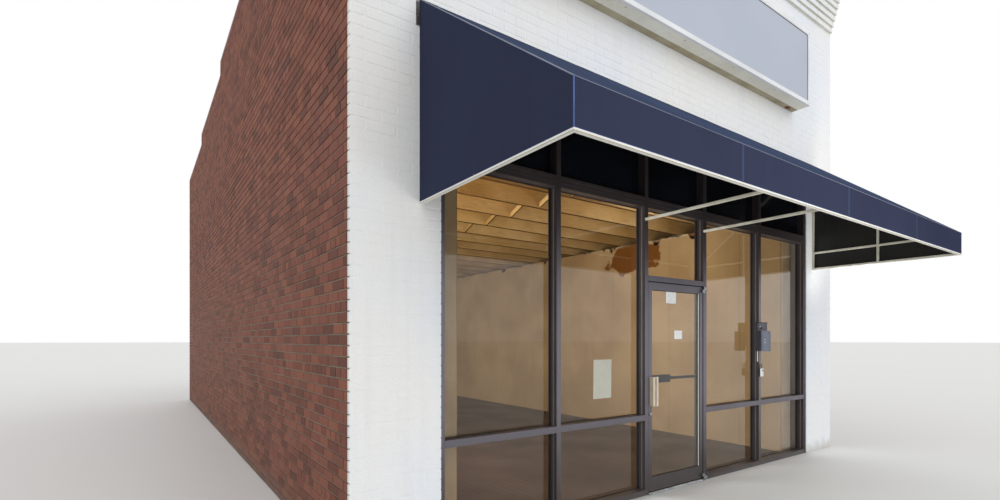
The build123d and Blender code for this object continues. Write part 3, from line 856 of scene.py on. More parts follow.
def merged_copy(node: str, name: str) -> Piece:
    """Copies a CAD node's mesh, with its loose triangles merged back into whole faces.

    Args:
        node: The node's name.
        name: The copy's name.

    Returns:
        The copy.
    """
    made = bpy.data.objects.new(name, bpy.data.objects[node].data.copy())
    bpy.context.scene.collection.objects.link(made)
    focus(made)
    bpy.ops.mesh.customdata_custom_splitnormals_clear()
    with editing(made):
        bpy.ops.mesh.remove_doubles(threshold=MERGE)
        bpy.ops.mesh.dissolve_limited(angle_limit=FLAT_ANGLE)
    for face in made.data.polygons:
        face.use_smooth = False
    return made


def pull(obj: Piece, axis: int, place: float, step: float) -> None:
    """Moves the points that lie on a plane across an axis.

    Args:
        obj: The object.
        axis: The axis: 0, 1 or 2.
        place: Where the plane is.
        step: How far its points move along the axis.
    """
    for vertex in obj.data.vertices:
        if abs(vertex.co[axis] - place) < TOUCH / 2:
            vertex.co[axis] += step


def hand_over(
    piece: Piece, finish: Finish, body: str = BUILDING, stands_for: Sequence[str] = ()
) -> Piece:
    """Gives a piece its finish, its body and the nodes that it stands for.

    Args:
        piece: The piece.
        finish: Its finish.
        body: The body that it moves with.
        stands_for: The CAD nodes that it is shown in place of.

    Returns:
        The piece.
    """
    piece.data.materials.clear()
    piece.data.materials.append(finish.material())
    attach(piece, body)
    if stands_for:
        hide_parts(*stands_for)
    LOG.info("%s: %d faces, %s", piece.name, len(piece.data.polygons), finish.name)
    return piece


def dress(finish: Finish, *nodes: str) -> None:
    """Gives CAD nodes that keep their shape a finish.

    Args:
        finish: The finish.
        nodes: The nodes' names.
    """
    for node in nodes:
        obj = bpy.data.objects[node]
        if not obj.material_slots:
            obj.data.materials.append(finish.material())
        for slot in obj.material_slots:
            slot.material = finish.material()
        LOG.info("%s: %s", node, finish.name)


def eased_copy(node: str, name: str, edge: float, finish: Finish, body: str = BUILDING) -> Piece:
    """Shows a CAD node with its sharp edges eased, as rolled or extruded metal has them.

    Args:
        node: The node's name.
        name: The piece's name.
        edge: How far each edge is cut back.
        finish: Its finish.
        body: The body that it moves with.

    Returns:
        The piece.
    """
    made = merged_copy(node, name)
    modify(made, "BEVEL", width=edge, segments=2, limit_method="ANGLE", angle_limit=ROUND_ANGLE)
    return hand_over(made, finish, body, (node,))


@dataclass
class ScrewHead:
    """A pan-head screw with a straight slot, modelled once and copied to each place."""

    radius: float = 0.006
    rise: float = 0.003
    sides: int = 12
    slot: float = 0.0005
    slot_reach: float = 0.8

    def model(self, name: str, spots: Sequence[Numbers], facing: Numbers) -> Piece:
        """Models the screws.

        Args:
            name: The joined piece's name.
            spots: Where each screw meets its surface.
            facing: Which way the heads look.

        Returns:
            All the screws in one mesh.
        """
        out = Vector(facing)
        first = rod(name, (0, 0, 0), out * self.rise, self.radius, self.sides)
        across = out.orthogonal().normalized()
        half = self.radius * self.slot_reach
        ends = (out * self.rise - across * half, out * self.rise + across * half)
        mark = rod(f"{name}_slot", *ends, self.slot, self.sides // 2)
        head = join(name, [first, mark])
        heads = [copied(head, spot) for spot in spots]
        bpy.data.objects.remove(head)
        return join(name, heads)


# Brickwork
class Side(Enum):
    """Which way a wall's face looks, as the turn from one that looks at the street."""

    FRONT = 0.0
    RIGHT = math.pi / 2
    REAR = math.pi
    LEFT = -math.pi / 2


@dataclass(frozen=True)
class Panel:
    """A rectangle of brickwork: its span along the wall and its heights."""

    left: float
    right: float
    bottom: float
    top: float


@dataclass(frozen=True)
class Bond:
    """How bricks are laid: their length and course height, their upright and bed joints, their evenness."""

    length: float = 0.225
    course: float = 0.075
    joint: float = 0.010
    bed: float = 0.010
    depth: float = 0.030
    arris: float = 0.0025
    unevenness: float = 0.0015
    headers_every: int = 6

    def brick(self, length: float) -> Piece:
        """Models one brick that looks at the street, with worn edges round its face.

        Args:
            length: Its length with its upright joint.

        Returns:
            The brick.
        """
        side, foot = self.joint / 2, self.bed / 2
        made = block("brick", (side, 0.0, foot), (length - side, self.depth, self.course - foot))
        with editing(made, lambda centre, normal: normal.y < -0.9):
            bpy.ops.mesh.bevel(offset=self.arris, segments=1, affect="EDGES")
        return made

    def lay(
        self, name: str, panel: Panel, dice: np.random.Generator, start: float = 0.0, foot: float = 0.0
    ) -> Piece:
        """Lays whole courses over a rectangle and cuts them to its edges.

        Args:
            name: The piece's name.
            panel: The rectangle.
            dice: The source of each brick's own tone and set.
            start: Where along the wall the bond starts from.
            foot: The height that the courses count from.

        Returns:
            The bricks, looking at the street, with their faces on the plane y = 0.
        """
        unit = self.headers_every or 2
        first = math.floor((panel.bottom - foot + MERGE) / self.course)
        first -= first % unit
        units = math.ceil(((panel.top - foot) / self.course - first) / unit - MERGE)
        corners = 0
        rows = []
        for index in range(unit):
            headers = bool(self.headers_every) and index == unit - 1
            length = self.length / 2 if headers else self.length
            offset = start + (length / 2 if index % 2 else 0.0)
            begin = offset + math.floor((panel.left - offset) / length) * length
            count = math.ceil((panel.right - begin) / length)
            row = self.brick(length)
            corners = len(row.data.vertices)
            repeat(row, count, (length, 0.0, 0.0))
            rows.append(shift(row, (begin, 0.0, foot + (first + index) * self.course)))
        wall = join(name, rows)
        repeat(wall, units, (0.0, 0.0, unit * self.course))
        self.weather(wall, corners, dice)
        for point, normal in (
            ((panel.left, 0, 0), (-1, 0, 0)),
            ((panel.right, 0, 0), (1, 0, 0)),
            ((0, 0, panel.bottom), (0, 0, -1)),
            ((0, 0, panel.top), (0, 0, 1)),
        ):
            cut(wall, point, normal)
        return wall

    def weather(self, wall: Piece, corners: int, dice: np.random.Generator) -> None:
        """Gives each brick its own tone and sets it back a little.

        Args:
            wall: The bricks, each with the same number of points in a row.
            corners: That number.
            dice: The source of the tones and depths.
        """
        mesh = wall.data
        count = len(mesh.vertices) // corners
        points = np.empty(len(mesh.vertices) * 3, np.float32)
        mesh.vertices.foreach_get("co", points)
        points = points.reshape(count, corners, 3)
        points[:, :, 1] += dice.random((count, 1)) * self.unevenness
        mesh.vertices.foreach_set("co", points.ravel())
        tones = mesh.attributes.new("tone", "FLOAT", "POINT")
        tones.data.foreach_set("value", np.repeat(dice.random(count), corners).astype(np.float32))
        mesh.update()


@dataclass
class Masonry:
    """The brick walls: painted towards the street, bare at the sides and the rear."""

    painted: Bond = Bond(arris=0.004, unevenness=0.0018, headers_every=0)
    bare: Bond = Bond()
    front_recess: float = 0.0025
    side_recess: float = 0.008
    corbel_rise: float = 0.075
    corbel_joint: float = 0.003
    step_courses: int = 3
    parapet_foot: float = 5.12
    roof_fall: float = 0.4
    dice: np.random.Generator = field(default_factory=lambda: np.random.default_rng(41))

    def build(self) -> None:
        """Builds every wall."""
        (self.left, self.face, _), (self.right, self.back, _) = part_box("front_wall")
        self.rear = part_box("left_party_wall")[1].y
        self.cornice_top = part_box("front_cornice")[1].z
        self.front_bricks()
        self.cornice_bricks()
        self.party_bricks(Side.LEFT)
        self.party_bricks(Side.RIGHT)
        self.rear_bricks()
        self.cores()

    def set_wall(self, pieces: Sequence[Piece], side: Side, plane: float) -> list[Piece]:
        """Turns panels to the side that they look at and moves them to their plane.

        Args:
            pieces: The panels, which look at the street.
            side: The side that they are to look at.
            plane: Where the plane of their faces is.

        Returns:
            The same panels, in place.
        """
        step = (0.0, plane, 0.0) if side in (Side.FRONT, Side.REAR) else (plane, 0.0, 0.0)
        return [shift(turn(piece, side.value), step) for piece in pieces]

    def front_bricks(self) -> None:
        """Lays the piers and the wall over the storefront, round the lintel's slot."""
        pier_left, pier_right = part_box("left_pier")[1].x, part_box("right_pier")[0].x
        (_, _, head), (_, _, top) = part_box("front_wall")
        (slot_left, _, _), (slot_right, _, slot_top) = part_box("steel_lintel")
        panels = {
            "left_pier_bricks": [Panel(self.left, pier_left, 0.0, head)],
            "right_pier_bricks": [Panel(pier_right, self.right, 0.0, head)],
            "front_wall_bricks": [
                Panel(self.left, slot_left, head, slot_top),
                Panel(slot_right, self.right, head, slot_top),
                Panel(self.left, self.right, slot_top, top),
            ],
        }
        for name, parts in panels.items():
            start = self.left - self.painted.joint / 2 - TOUCH
            laid = [self.painted.lay(name, part, self.dice, start) for part in parts]
            wall = join(name, self.set_wall(laid, Side.FRONT, self.face))
            hand_over(wall, WALL_PAINT)

    def cornice_bricks(self) -> None:
        """Lays the courses that step out, and the band over them."""
        _, front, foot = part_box("front_cornice")[0]
        steps = sorted({round(v.co.y, 4) for v in bpy.data.objects["front_cornice"].data.vertices})[:-1]
        laid = []
        for index, plane in enumerate(reversed(steps)):
            low = foot + index * self.corbel_rise
            last = abs(plane - front) < TOUCH
            high = self.cornice_top if last else low + self.corbel_rise
            depth = self.face - plane + self.painted.depth
            bond = replace(self.painted, joint=self.corbel_joint, depth=depth)
            panel = Panel(self.left, self.right, low, high)
            start = self.left + (index % 2) * bond.length / 2 - bond.joint / 2 - TOUCH
            row = bond.lay("cornice_row", panel, self.dice, start, foot)
            laid += self.set_wall([row], Side.FRONT, plane)
        hand_over(join("cornice_bricks", laid), WALL_PAINT)

    def party_bricks(self, outside: Side) -> None:
        """Lays one party wall: its plain outer face and its face over the roof.

        Args:
            outside: The side that its outer face looks at, left or right.
        """
        name = outside.name.lower()
        left = outside is Side.LEFT
        copings = [box for box in solids_of("side_copings") if (box[0].x < 0) == left]
        copings.sort(key=lambda box: box[0].z)
        self.step_faces(name, copings)
        front = self.face + self.painted.depth
        outer = []
        inner = []
        foot = 0.0
        for low, high in copings:
            outer.append((front, high.y, foot, low.z))
            inner.append((self.back, high.y, max(foot, self.parapet_foot), low.z))
            foot = low.z
        outer.append((front, self.back, foot, self.cornice_top))
        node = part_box(f"{name}_party_wall")
        planes = (node[0].x, node[1].x) if left else (node[1].x, node[0].x)
        sides = (Side.LEFT, Side.RIGHT) if left else (Side.RIGHT, Side.LEFT)
        for label, spans, side, plane in zip(("bricks", "parapet"), (outer, inner), sides, planes):
            laid = []
            for y0, y1, z0, z1 in spans:
                panel = Panel(y0, y1, z0, z1) if side is Side.RIGHT else Panel(-y1, -y0, z0, z1)
                start = self.face if side is Side.RIGHT else -self.face
                laid.append(self.bare.lay("course", panel, self.dice, start))
            wall = join(f"{name}_party_{label}", self.set_wall(laid, side, plane))
            hand_over(wall, BRICK)

    def step_faces(self, name: str, copings: list[Box]) -> None:
        """Lays the short upright faces where a party wall steps down.

        Args:
            name: The wall's name.
            copings: The boxes of its copings, the lowest first.
        """
        edge = self.bare.depth
        laid = []
        for low, high in copings[1:]:
            foot = low.z - self.step_courses * self.bare.course
            panel = Panel(-high.x + edge, -low.x - edge, foot, low.z)
            row = self.bare.lay("step", panel, self.dice, -high.x)
            laid += self.set_wall([row], Side.REAR, high.y)
        hand_over(join(f"{name}_step_faces", laid), BRICK)

    def rear_bricks(self) -> None:
        """Lays the rear wall round its doorway, the party walls' ends and the parapet's back."""
        (door_left, _, _), (door_right, _, door_top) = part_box("rear_door_frame")
        (inner_left, _, eaves), (inner_right, _, _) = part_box("roof_deck")
        low = min(box[0].z for box in solids_of("side_copings"))
        edge = self.bare.depth
        spans = [
            (self.left + edge, door_left, 0.0, door_top),
            (door_right, self.right - edge, 0.0, door_top),
            (self.left + edge, self.right - edge, door_top, eaves),
            (self.left + edge, inner_left, eaves, low),
            (inner_right, self.right - edge, eaves, low),
        ]
        laid = []
        for x0, x1, z0, z1 in spans:
            laid.append(self.bare.lay("course", Panel(-x1, -x0, z0, z1), self.dice, -self.left))
        wall = join("rear_bricks", self.set_wall(laid, Side.REAR, self.rear))
        hand_over(wall, BRICK)
        high = max(box[0].z for box in solids_of("side_copings"))
        panels = [
            Panel(-inner_right, -inner_left, self.parapet_foot + self.roof_fall, high),
            Panel(self.left + edge, self.right - edge, high, self.cornice_top),
        ]
        backs = [self.bare.lay("front_parapet", panel, self.dice, -self.left) for panel in panels]
        wall = join("front_parapet", self.set_wall(backs, Side.REAR, self.back))
        hand_over(wall, BRICK)

    def cores(self) -> None:
        """Makes the walls behind the bricks, which show as their joints."""
        joint = self.front_recess
        side = self.side_recess
        for node in ("left_pier", "right_pier", "front_wall", "front_cornice"):
            core = merged_copy(node, f"{node}_joints")
            for place in sorted({round(v.co.y, 4) for v in core.data.vertices}):
                if place < self.face + TOUCH:
                    pull(core, 1, place, joint)
            pull(core, 0, self.left, side + 2 * TOUCH)
            pull(core, 0, self.right, -side - 2 * TOUCH)
            pull(core, 0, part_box("left_pier")[1].x, -joint)
            pull(core, 0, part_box("right_pier")[0].x, joint)
            pull(core, 1, self.back, -side)
            # The cornice's core takes the olive tan: dust, and painted shade under each stepped course
            finish = DUST_AND_SHADE_PAINT if node == "front_cornice" else WALL_PAINT
            hand_over(core, finish, BUILDING, (node,))
        front = self.face + self.painted.depth
        ends = [
            block("end", (x, front, 0.0), (x + 2 * side, self.back, self.cornice_top))
            for x in (self.left + side, self.right - 3 * side)
        ]
        hand_over(join("front_end_joints", ends), MORTAR)
        for name in ("left", "right"):
            node = f"{name}_party_wall"
            low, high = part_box(node)
            core = merged_copy(node, f"{name}_party_joints")
            pull(core, 0, low.x, side)
            pull(core, 0, high.x, -side)
            for _, end in solids_of("side_copings"):
                pull(core, 1, end.y, -side / 2)
            hand_over(core, MORTAR, BUILDING, (node,))
        for node in ("rear_wall_sides", "rear_wall_over_door"):
            core = merged_copy(node, f"{node}_joints")
            pull(core, 1, self.rear, -side)
            hand_over(core, MORTAR, BUILDING, (node,))


@dataclass
class Copings:
    """Cement coping stones on the front and clay coping tiles on the party walls."""

    stone: float = 0.78
    tile: float = 0.61
    gap: float = 0.006
    edge: float = 0.004

    def run(self, node: str, name: str, box: Box, axis: int, length: float) -> Piece:
        """Cuts a straight coping into lengths with open joints.

        Args:
            node: The CAD node that holds the coping.
            name: The piece's name.
            box: The coping's own box.
            axis: The axis that it runs along.
            length: About how long each length is.

        Returns:
            All the lengths in one mesh.
        """
        low, high = box
        count = max(1, round((high[axis] - low[axis]) / length))
        pitch = (high[axis] - low[axis]) / count
        first = merged_copy(node, name)
        for sign, place in ((-1.0, low[axis] + self.gap / 2), (1.0, low[axis] + pitch - self.gap / 2)):
            point, out = [0.0, 0.0, 0.0], [0.0, 0.0, 0.0]
            point[axis], out[axis] = place, sign
            cut(first, point, out)
        # The node of the side copings holds both walls' tiles, so the other wall's are cut away
        if low.x * high.x > 0:
            cut(first, (0.0, 0.0, 0.0), (-math.copysign(1.0, low.x), 0.0, 0.0))
        modify(first, "BEVEL", width=self.edge, segments=2, limit_method="ANGLE", angle_limit=ROUND_ANGLE)
        step = [0.0, 0.0, 0.0]
        step[axis] = pitch
        return repeat(first, count, step)

    def build(self) -> None:
        """Builds both kinds."""
        front = self.run("front_coping", "front_coping_stones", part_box("front_coping"), 0, self.stone)
        hand_over(front, COPING_PAINT, BUILDING, ("front_coping",))
        tiles = []
        for low, high in solids_of("side_copings"):
            tiles.append(self.run("side_copings", "tiles", (low, high), 1, self.tile))
        hand_over(join("clay_coping_tiles", tiles), CLAY_COPING, BUILDING, ("side_copings",))


@dataclass
class Roof:
    """The coated roof with its laps, the upstands at the walls, and the rear gutter's fittings."""

    roll: float = 0.91
    lap: float = 0.09
    lap_rise: float = 0.004
    felt: float = 0.008
    upstand: float = 0.2
    flashing: float = 0.04
    flashing_thick: float = 0.016
    strap_spacing: float = 0.88
    strap: float = 0.025
    strap_lap: float = 0.004
    sheet: float = 0.003
    fold: float = 0.001
    pipe_edge: float = 0.006
    band_reach: float = 0.03
    bands: tuple[float, ...] = (0.35, 1.9, 3.4, 4.75)

    def top(self, y: float) -> float:
        """Returns the roof's height at a depth."""
        share = (y - self.low.y) / (self.high.y - self.low.y)
        return self.high.z + (self.end_top - self.high.z) * share

    def sloped(self, piece: Piece) -> Piece:
        """Raises a piece onto the slope.

        Args:
            piece: The piece, modelled on height 0.

        Returns:
            The piece.
        """
        for vertex in piece.data.vertices:
            vertex.co.z += self.top(vertex.co.y)
        return piece

    def build(self) -> None:
        """Builds the roof's pieces."""
        self.low, self.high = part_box("roof_deck")
        points = [v.co for v in bpy.data.objects["roof_deck"].data.vertices]
        self.end_top = max(p.z for p in points if p.y > self.high.y - TOUCH)
        dress(ROOF_COAT, "roof_deck")
        self.laps()
        self.upstands()
        self.gutter()

    def laps(self) -> None:
        """Lays the raised laps between the rolls of felt."""
        count = int((self.high.y - self.low.y) / self.roll)
        laps = []
        for index in range(1, count + 1):
            y = self.low.y + index * self.roll
            corners = (self.low.x, y, 0.0), (self.high.x, y + self.lap, self.lap_rise)
            laps.append(self.sloped(block("lap", *corners, edge=self.lap_rise / 3)))
        hand_over(join("roof_laps", laps), ROOF_COAT)

    def upstands(self) -> None:
        """Turns the felt up the walls, under a folded metal strip."""
        rise = self.upstand - self.flashing / 2
        felt = self.turned_up("felt", self.felt, 0.0, self.upstand)
        metal = self.turned_up("strip", self.flashing_thick, rise, rise + self.flashing)
        hand_over(join("roof_upstands", felt), ROOF_COAT)
        hand_over(join("roof_flashing", metal), GALVANISED)

    def turned_up(self, name: str, thick: float, bottom: float, top: float) -> list[Piece]:
        """Runs a strip along the two party walls and the front wall.

        Args:
            name: The strip's name.
            thick: How thick it is.
            bottom: Its foot over the roof.
            top: Its top over the roof.

        Returns:
            The three lengths, on the slope.
        """
        x0, x1, y0 = self.low.x, self.high.x, self.low.y
        wall_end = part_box("left_party_wall")[1].y
        lengths = [
            block(name, (x0, y0, bottom), (x0 + thick, wall_end, top), self.sheet),
            block(name, (x1 - thick, y0, bottom), (x1, wall_end, top), self.sheet),
            block(name, (x0, y0, bottom), (x1, y0 + thick, top), self.sheet),
        ]
        return [self.sloped(piece) for piece in lengths]

    def gutter(self) -> None:
        """Straps the gutter and the downpipe."""
        low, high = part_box("rear_gutter")
        count = int((high.x - low.x) / self.strap_spacing)
        span = (high.x - low.x) / (count + 1)
        first = block(
            "strap",
            (low.x + span - self.strap / 2, self.high.y - self.strap_lap, high.z - self.strap_lap),
            (low.x + span + self.strap / 2, high.y - self.fold, high.z), self.fold,
        )
        hand_over(join("gutter_straps", [repeat(first, count, (span, 0.0, 0.0))]), GALVANISED)
        pipe_low, pipe_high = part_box("rear_downpipe")
        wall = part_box("rear_wall_over_door")[1].y
        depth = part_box("rear_downpipe")[0].y + (pipe_high.x - pipe_low.x)
        bands = []
        for z in self.bands:
            low_corner = (pipe_low.x - self.band_reach, wall, z)
            high_corner = (pipe_high.x + self.band_reach, wall + self.sheet, z + self.strap)
            bands.append(block("band", low_corner, high_corner, self.fold))
            hoop = block(
                "hoop", (pipe_low.x - self.sheet, wall, z),
                (pipe_high.x + self.sheet, depth + self.sheet, z + self.strap), self.fold,
            )
            bands.append(hoop)
        hand_over(join("downpipe_bands", bands), GALVANISED)
        eased_copy("rear_gutter", "box_gutter", self.fold, GALVANISED)
        eased_copy("rear_downpipe", "square_downpipe", self.pipe_edge, GALVANISED)


@dataclass
class RearDoor:
    """The plain steel service door with its hinges, lever and kick plate."""

    edge: float = 0.002
    hinge_radius: float = 0.009
    hinge_height: float = 0.1
    hinge_inset: float = 0.001
    hinges: tuple[float, ...] = (0.25, 1.05, 1.85)
    kick_height: float = 0.2
    kick_thick: float = 0.0015
    kick_inset: float = 0.04
    kick_rise: float = 0.03
    lever_z: float = 1.0
    lever_inset: float = 0.07
    lever_length: float = 0.115
    lever_tail: float = 0.01
    lever_near: float = 0.036
    lever_far: float = 0.05
    lever_edge: float = 0.004
    neck_radius: float = 0.009
    neck_length: float = 0.045
    rose_radius: float = 0.026
    rose_thick: float = 0.008
    bolt_rise: float = 0.16
    bolt_radius: float = 0.025
    bolt_thick: float = 0.012

    def build(self) -> None:
        """Builds the door's pieces."""
        low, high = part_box("rear_door")
        eased_copy("rear_door_frame", "steel_door_frame", self.edge, REAR_PAINT)
        eased_copy("rear_door", "steel_door_leaf", self.edge, REAR_PAINT)
        self.hang(low.x + self.hinge_inset, high.y + self.hinge_radius / 2)
        plate = block(
            "rear_kick_plate", (low.x + self.kick_inset, high.y, low.z + self.kick_rise),
            (high.x - self.kick_inset, high.y + self.kick_thick, low.z + self.kick_rise + self.kick_height),
            self.kick_thick / 3,
        )
        hand_over(plate, MILL)
        self.lock(high.x - self.lever_inset, high.y)

    def hang(self, x: float, y: float) -> None:
        """Puts the three hinges on one axis.

        Args:
            x: Where the axis is, across the building.
            y: Where it is, front to back.
        """
        hinges = []
        for z in self.hinges:
            hinges.append(rod("hinge", (x, y, z), (x, y, z + self.hinge_height), self.hinge_radius))
        hand_over(join("rear_hinges", hinges), GALVANISED)

    def lock(self, x: float, face: float) -> None:
        """Puts the lever on its round plate, and the bolt's round plate over it.

        Args:
            x: Where the lever's neck is, across the building.
            face: The leaf's outer face.
        """
        z, bolt_z = self.lever_z, self.lever_z + self.bolt_rise
        lever = [
            rod("rose", (x, face, z), (x, face + self.rose_thick, z), self.rose_radius, 24),
            rod("neck", (x, face, z), (x, face + self.neck_length, z), self.neck_radius),
            block(
                "lever", (x - self.lever_length, face + self.lever_near, z - self.neck_radius),
                (x + self.lever_tail, face + self.lever_far, z + self.neck_radius), self.lever_edge,
            ),
            rod("bolt_rose", (x, face, bolt_z), (x, face + self.bolt_thick, bolt_z), self.bolt_radius, 24),
        ]
        hand_over(join("rear_lever", lever), MILL)


# Inside
@dataclass
class Interior:
    """The room that shows through the glass: floor, joists, ceiling boards and wall linings."""

    floor_strip: float = 0.083
    ceiling_strip: float = 0.14
    gap: float = 0.0015
    sheet_width: float = 1.22
    first_sheet: float = 0.585
    ragged: float = 0.1
    crumb: float = 0.025
    crumb_rough: float = 0.06
    smoothing: int = 9
    dice: np.random.Generator = field(default_factory=lambda: np.random.default_rng(7))

    def boards(self, node: str, name: str, strip: float) -> Piece:
        """Lays boards from front to back over a CAD node's box.

        Args:
            node: The node's name.
            name: The piece's name.
            strip: About how wide a board is.

        Returns:
            All the boards in one mesh.
        """
        low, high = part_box(node)
        count = round((high.x - low.x) / strip)
        pitch = (high.x - low.x) / count
        left, right = low.x + self.gap / 2, low.x + pitch - self.gap / 2
        first = block(name, (left, low.y, low.z), (right, high.y, high.z))
        with editing(first, lambda centre, normal: abs(normal.z) > 0.9):
            bpy.ops.mesh.bevel(offset=self.gap, segments=1, affect="EDGES")
        return repeat(first, count, (pitch, 0.0, 0.0))

    def build(self) -> None:
        """Builds the room's pieces."""
        floor = self.boards("floor_slab", "strip_floor", self.floor_strip)
        hand_over(floor, FLOOR_STAIN, BUILDING, ("floor_slab",))
        ceiling = self.boards("ceiling_boards", "ceiling_planks", self.ceiling_strip)
        hand_over(ceiling, CEILING_PAINT, BUILDING, ("ceiling_boards",))
        # The joists and their bridging carry painted shade on their undersides
        dress(JOIST_PAINT_SHADED_BELOW, "ceiling_joists", "joist_bridging")
        dress(BARE_TIMBER, "joist_ledgers", "lining_frames")
        # The returns' lighter tan is painted light
        dress(RETURN_PAINTED_LIGHT, "lining_returns")
        self.linings()

    def linings(self) -> None:
        """Hangs the wallboard in sheets, with a top edge that has crumbled between the joists."""
        sheets = []
        for low, high in solids_of("lining_boards"):
            y, width = low.y, self.first_sheet
            while y < high.y - TOUCH:
                end = min(y + width, high.y)
                sheets.append(self.wallboard(low, high, y, end))
                y, width = end, self.sheet_width
        hand_over(join("wallboard", sheets), LINING_PAINT, BUILDING, ("lining_boards",))

    def wallboard(self, low: Vector, high: Vector, start: float, end: float) -> Piece:
        """Makes one sheet of wallboard.

        Args:
            low: The lining's lowest corner.
            high: The lining's highest corner.
            start: Where the sheet starts, front to back.
            end: Where it ends.

        Returns:
            The sheet, as thick as the lining.
        """
        columns = max(8, round((end - start) / self.crumb))
        window = np.hanning(self.smoothing) / 4
        rough = np.convolve(self.dice.normal(0.0, 1.0, columns + self.smoothing), window, mode="valid")
        fine = self.dice.normal(0.0, self.crumb_rough, columns + 1)
        drops = np.clip(rough + fine, 0.0, 1.0) * self.ragged
        drops[[0, -1]] = 0.0
        near = low.x if low.x > 0 else high.x
        inward = -1.0 if low.x > 0 else 1.0

        def place(along: float, up: float) -> Triple:
            """Returns a point of the sheet's face."""
            top = high.z - drops[round(along * columns)]
            return near, start + self.gap + (end - start - 2 * self.gap) * along, low.z + (top - low.z) * up

        sheet = sheet_of("wallboard", columns, 2, place)
        modify(sheet, "SOLIDIFY", thickness=high.x - low.x, offset=inward)
        return sheet


# Storefront
@dataclass
class Storefront:
    """Aluminium bars, glass in rubber gaskets, dark head panels and the fixed parts round the door."""

    edge: float = 0.0015
    gasket: float = 0.004
    gasket_depth: float = 0.004
    bite: float = 0.0097
    stop_inset: float = 0.033
    stop_width: float = 0.015
    stop_rise: float = 0.0015
    threshold_edge: float = 0.001
    caulk_width: float = 0.004
    caulk_ragged: float = 0.005
    caulk_bulge: float = 0.004
    caulk_thick: float = 0.001
    caulk_rows: int = 150
    caulk_sides: Pair = (1.0, -0.35)
    notice_x: Pair = (-1.168, -0.9285)
    notice_z: Pair = (0.986, 1.352)
    notice_thick: float = 0.0004
    notice_gap: float = 0.001
    notice_curl: float = 0.012

    def build(self) -> None:
        """Builds the storefront."""
        bars = {
            "storefront_jambs": "jamb_bars",
            "mullions": "mullion_bars",
            "sill_rails": "sill_bars",
            "low_rails": "low_bars",
            "head_rails": "ribbed_head_bars",
            "top_rails": "top_bars",
            "door_header": "door_head_bar",
            "door_stops": "door_stop_strips",
        }
        # The bars' street faces carry painted light from their bronze finish
        for node, name in bars.items():
            eased_copy(node, name, self.edge, BRONZE_WITH_LIT_FRONTS)
        eased_copy("door_threshold", "ribbed_threshold", self.threshold_edge, MILL)
        dress(MILL, "frame_pivots")
        dress(GLASS, "low_glass", "tall_glass")
        dress(PANEL_BLACK, "head_panels")
        self.gaskets()
        self.stops()
        self.caulk()
        self.notice()

    def stops(self) -> None:
        """Runs the ridge of the snap-in glass stop up both sides of each window, paler than the bars as a
        painted highlight.
        """
        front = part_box("storefront_jambs")[0].y + self.stop_inset
        ridges = []
        for node in ("low_glass", "tall_glass"):
            for low, high in solids_of(node):
                for x, inward in ((low.x + self.bite, self.stop_rise), (high.x - self.bite, -self.stop_rise)):
                    corners = sorted((x - inward, x + inward))
                    ridge_low = (corners[0], front, low.z + self.bite)
                    ridge_high = (corners[1], front + self.stop_width, high.z - self.bite)
                    ridges.append(block("ridge", ridge_low, ridge_high))
        hand_over(join("glass_stop_ridges", ridges), STOP_HIGHLIGHT_METAL)

    def gaskets(self) -> None:
        """Beds each pane in rubber, on both faces."""
        strips = []
        for node in ("low_glass", "tall_glass", "head_panels"):
            for low, high in solids_of(node):
                seen = Vector((self.bite, 0.0, self.bite))
                for y0, y1 in ((low.y - self.gasket_depth, low.y), (high.y, high.y + self.gasket_depth)):
                    corner = low + seen
                    far = high - seen
                    strips.append(ring("gasket", (corner.x, y0, corner.z), (far.x, y1, far.z), self.gasket))
        hand_over(join("glazing_gaskets", strips), RUBBER)

    def caulk(self) -> None:
        """Runs a bead of old caulk down each jamb, ragged where it met the brick."""
        low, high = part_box("storefront_jambs")
        dice = np.random.default_rng(11)
        rows = self.caulk_rows
        front = low.y - self.caulk_thick / 2
        beads = []
        for x, inward in zip((low.x, high.x), self.caulk_sides):
            rough = np.convolve(dice.normal(0, 1, rows + 3), (0.3, 0.5, 0.3), "valid")
            widths = self.caulk_width + self.caulk_ragged * np.abs(rough)

            def place(along: float, up: float) -> Numbers:
                """Returns a point of the bead, which bulges in its middle."""
                width = widths[round(up * rows)]
                bulge = self.caulk_bulge * math.sin(math.pi * along)
                return x + inward * (width * along), front - bulge, low.z + (high.z - low.z) * up

            bead = sheet_of("bead", 4, rows, place)
            modify(bead, "SOLIDIFY", thickness=self.caulk_thick, offset=0.0)
            beads.append(smooth(bead))
        hand_over(join("jamb_caulk", beads), RUBBER)

    def notice(self) -> None:
        """Tapes a bare sheet of paper inside the second window."""
        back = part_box("tall_glass")[1].y + self.notice_gap
        left, right = self.notice_x
        bottom, top = self.notice_z

        def place(along: float, up: float) -> Triple:
            """Returns a point of the sheet, whose lower corners curl into the room."""
            curl = self.notice_curl * max(0.0, abs(along - 0.5) * 2 - 0.6) * (1 - up) ** 2
            return left + (right - left) * along, back + curl, bottom + (top - bottom) * up

        sheet = sheet_of("window_notice", 12, 16, place)
        modify(sheet, "SOLIDIFY", thickness=self.notice_thick, offset=0.0)
        hand_over(sheet, PAPER)


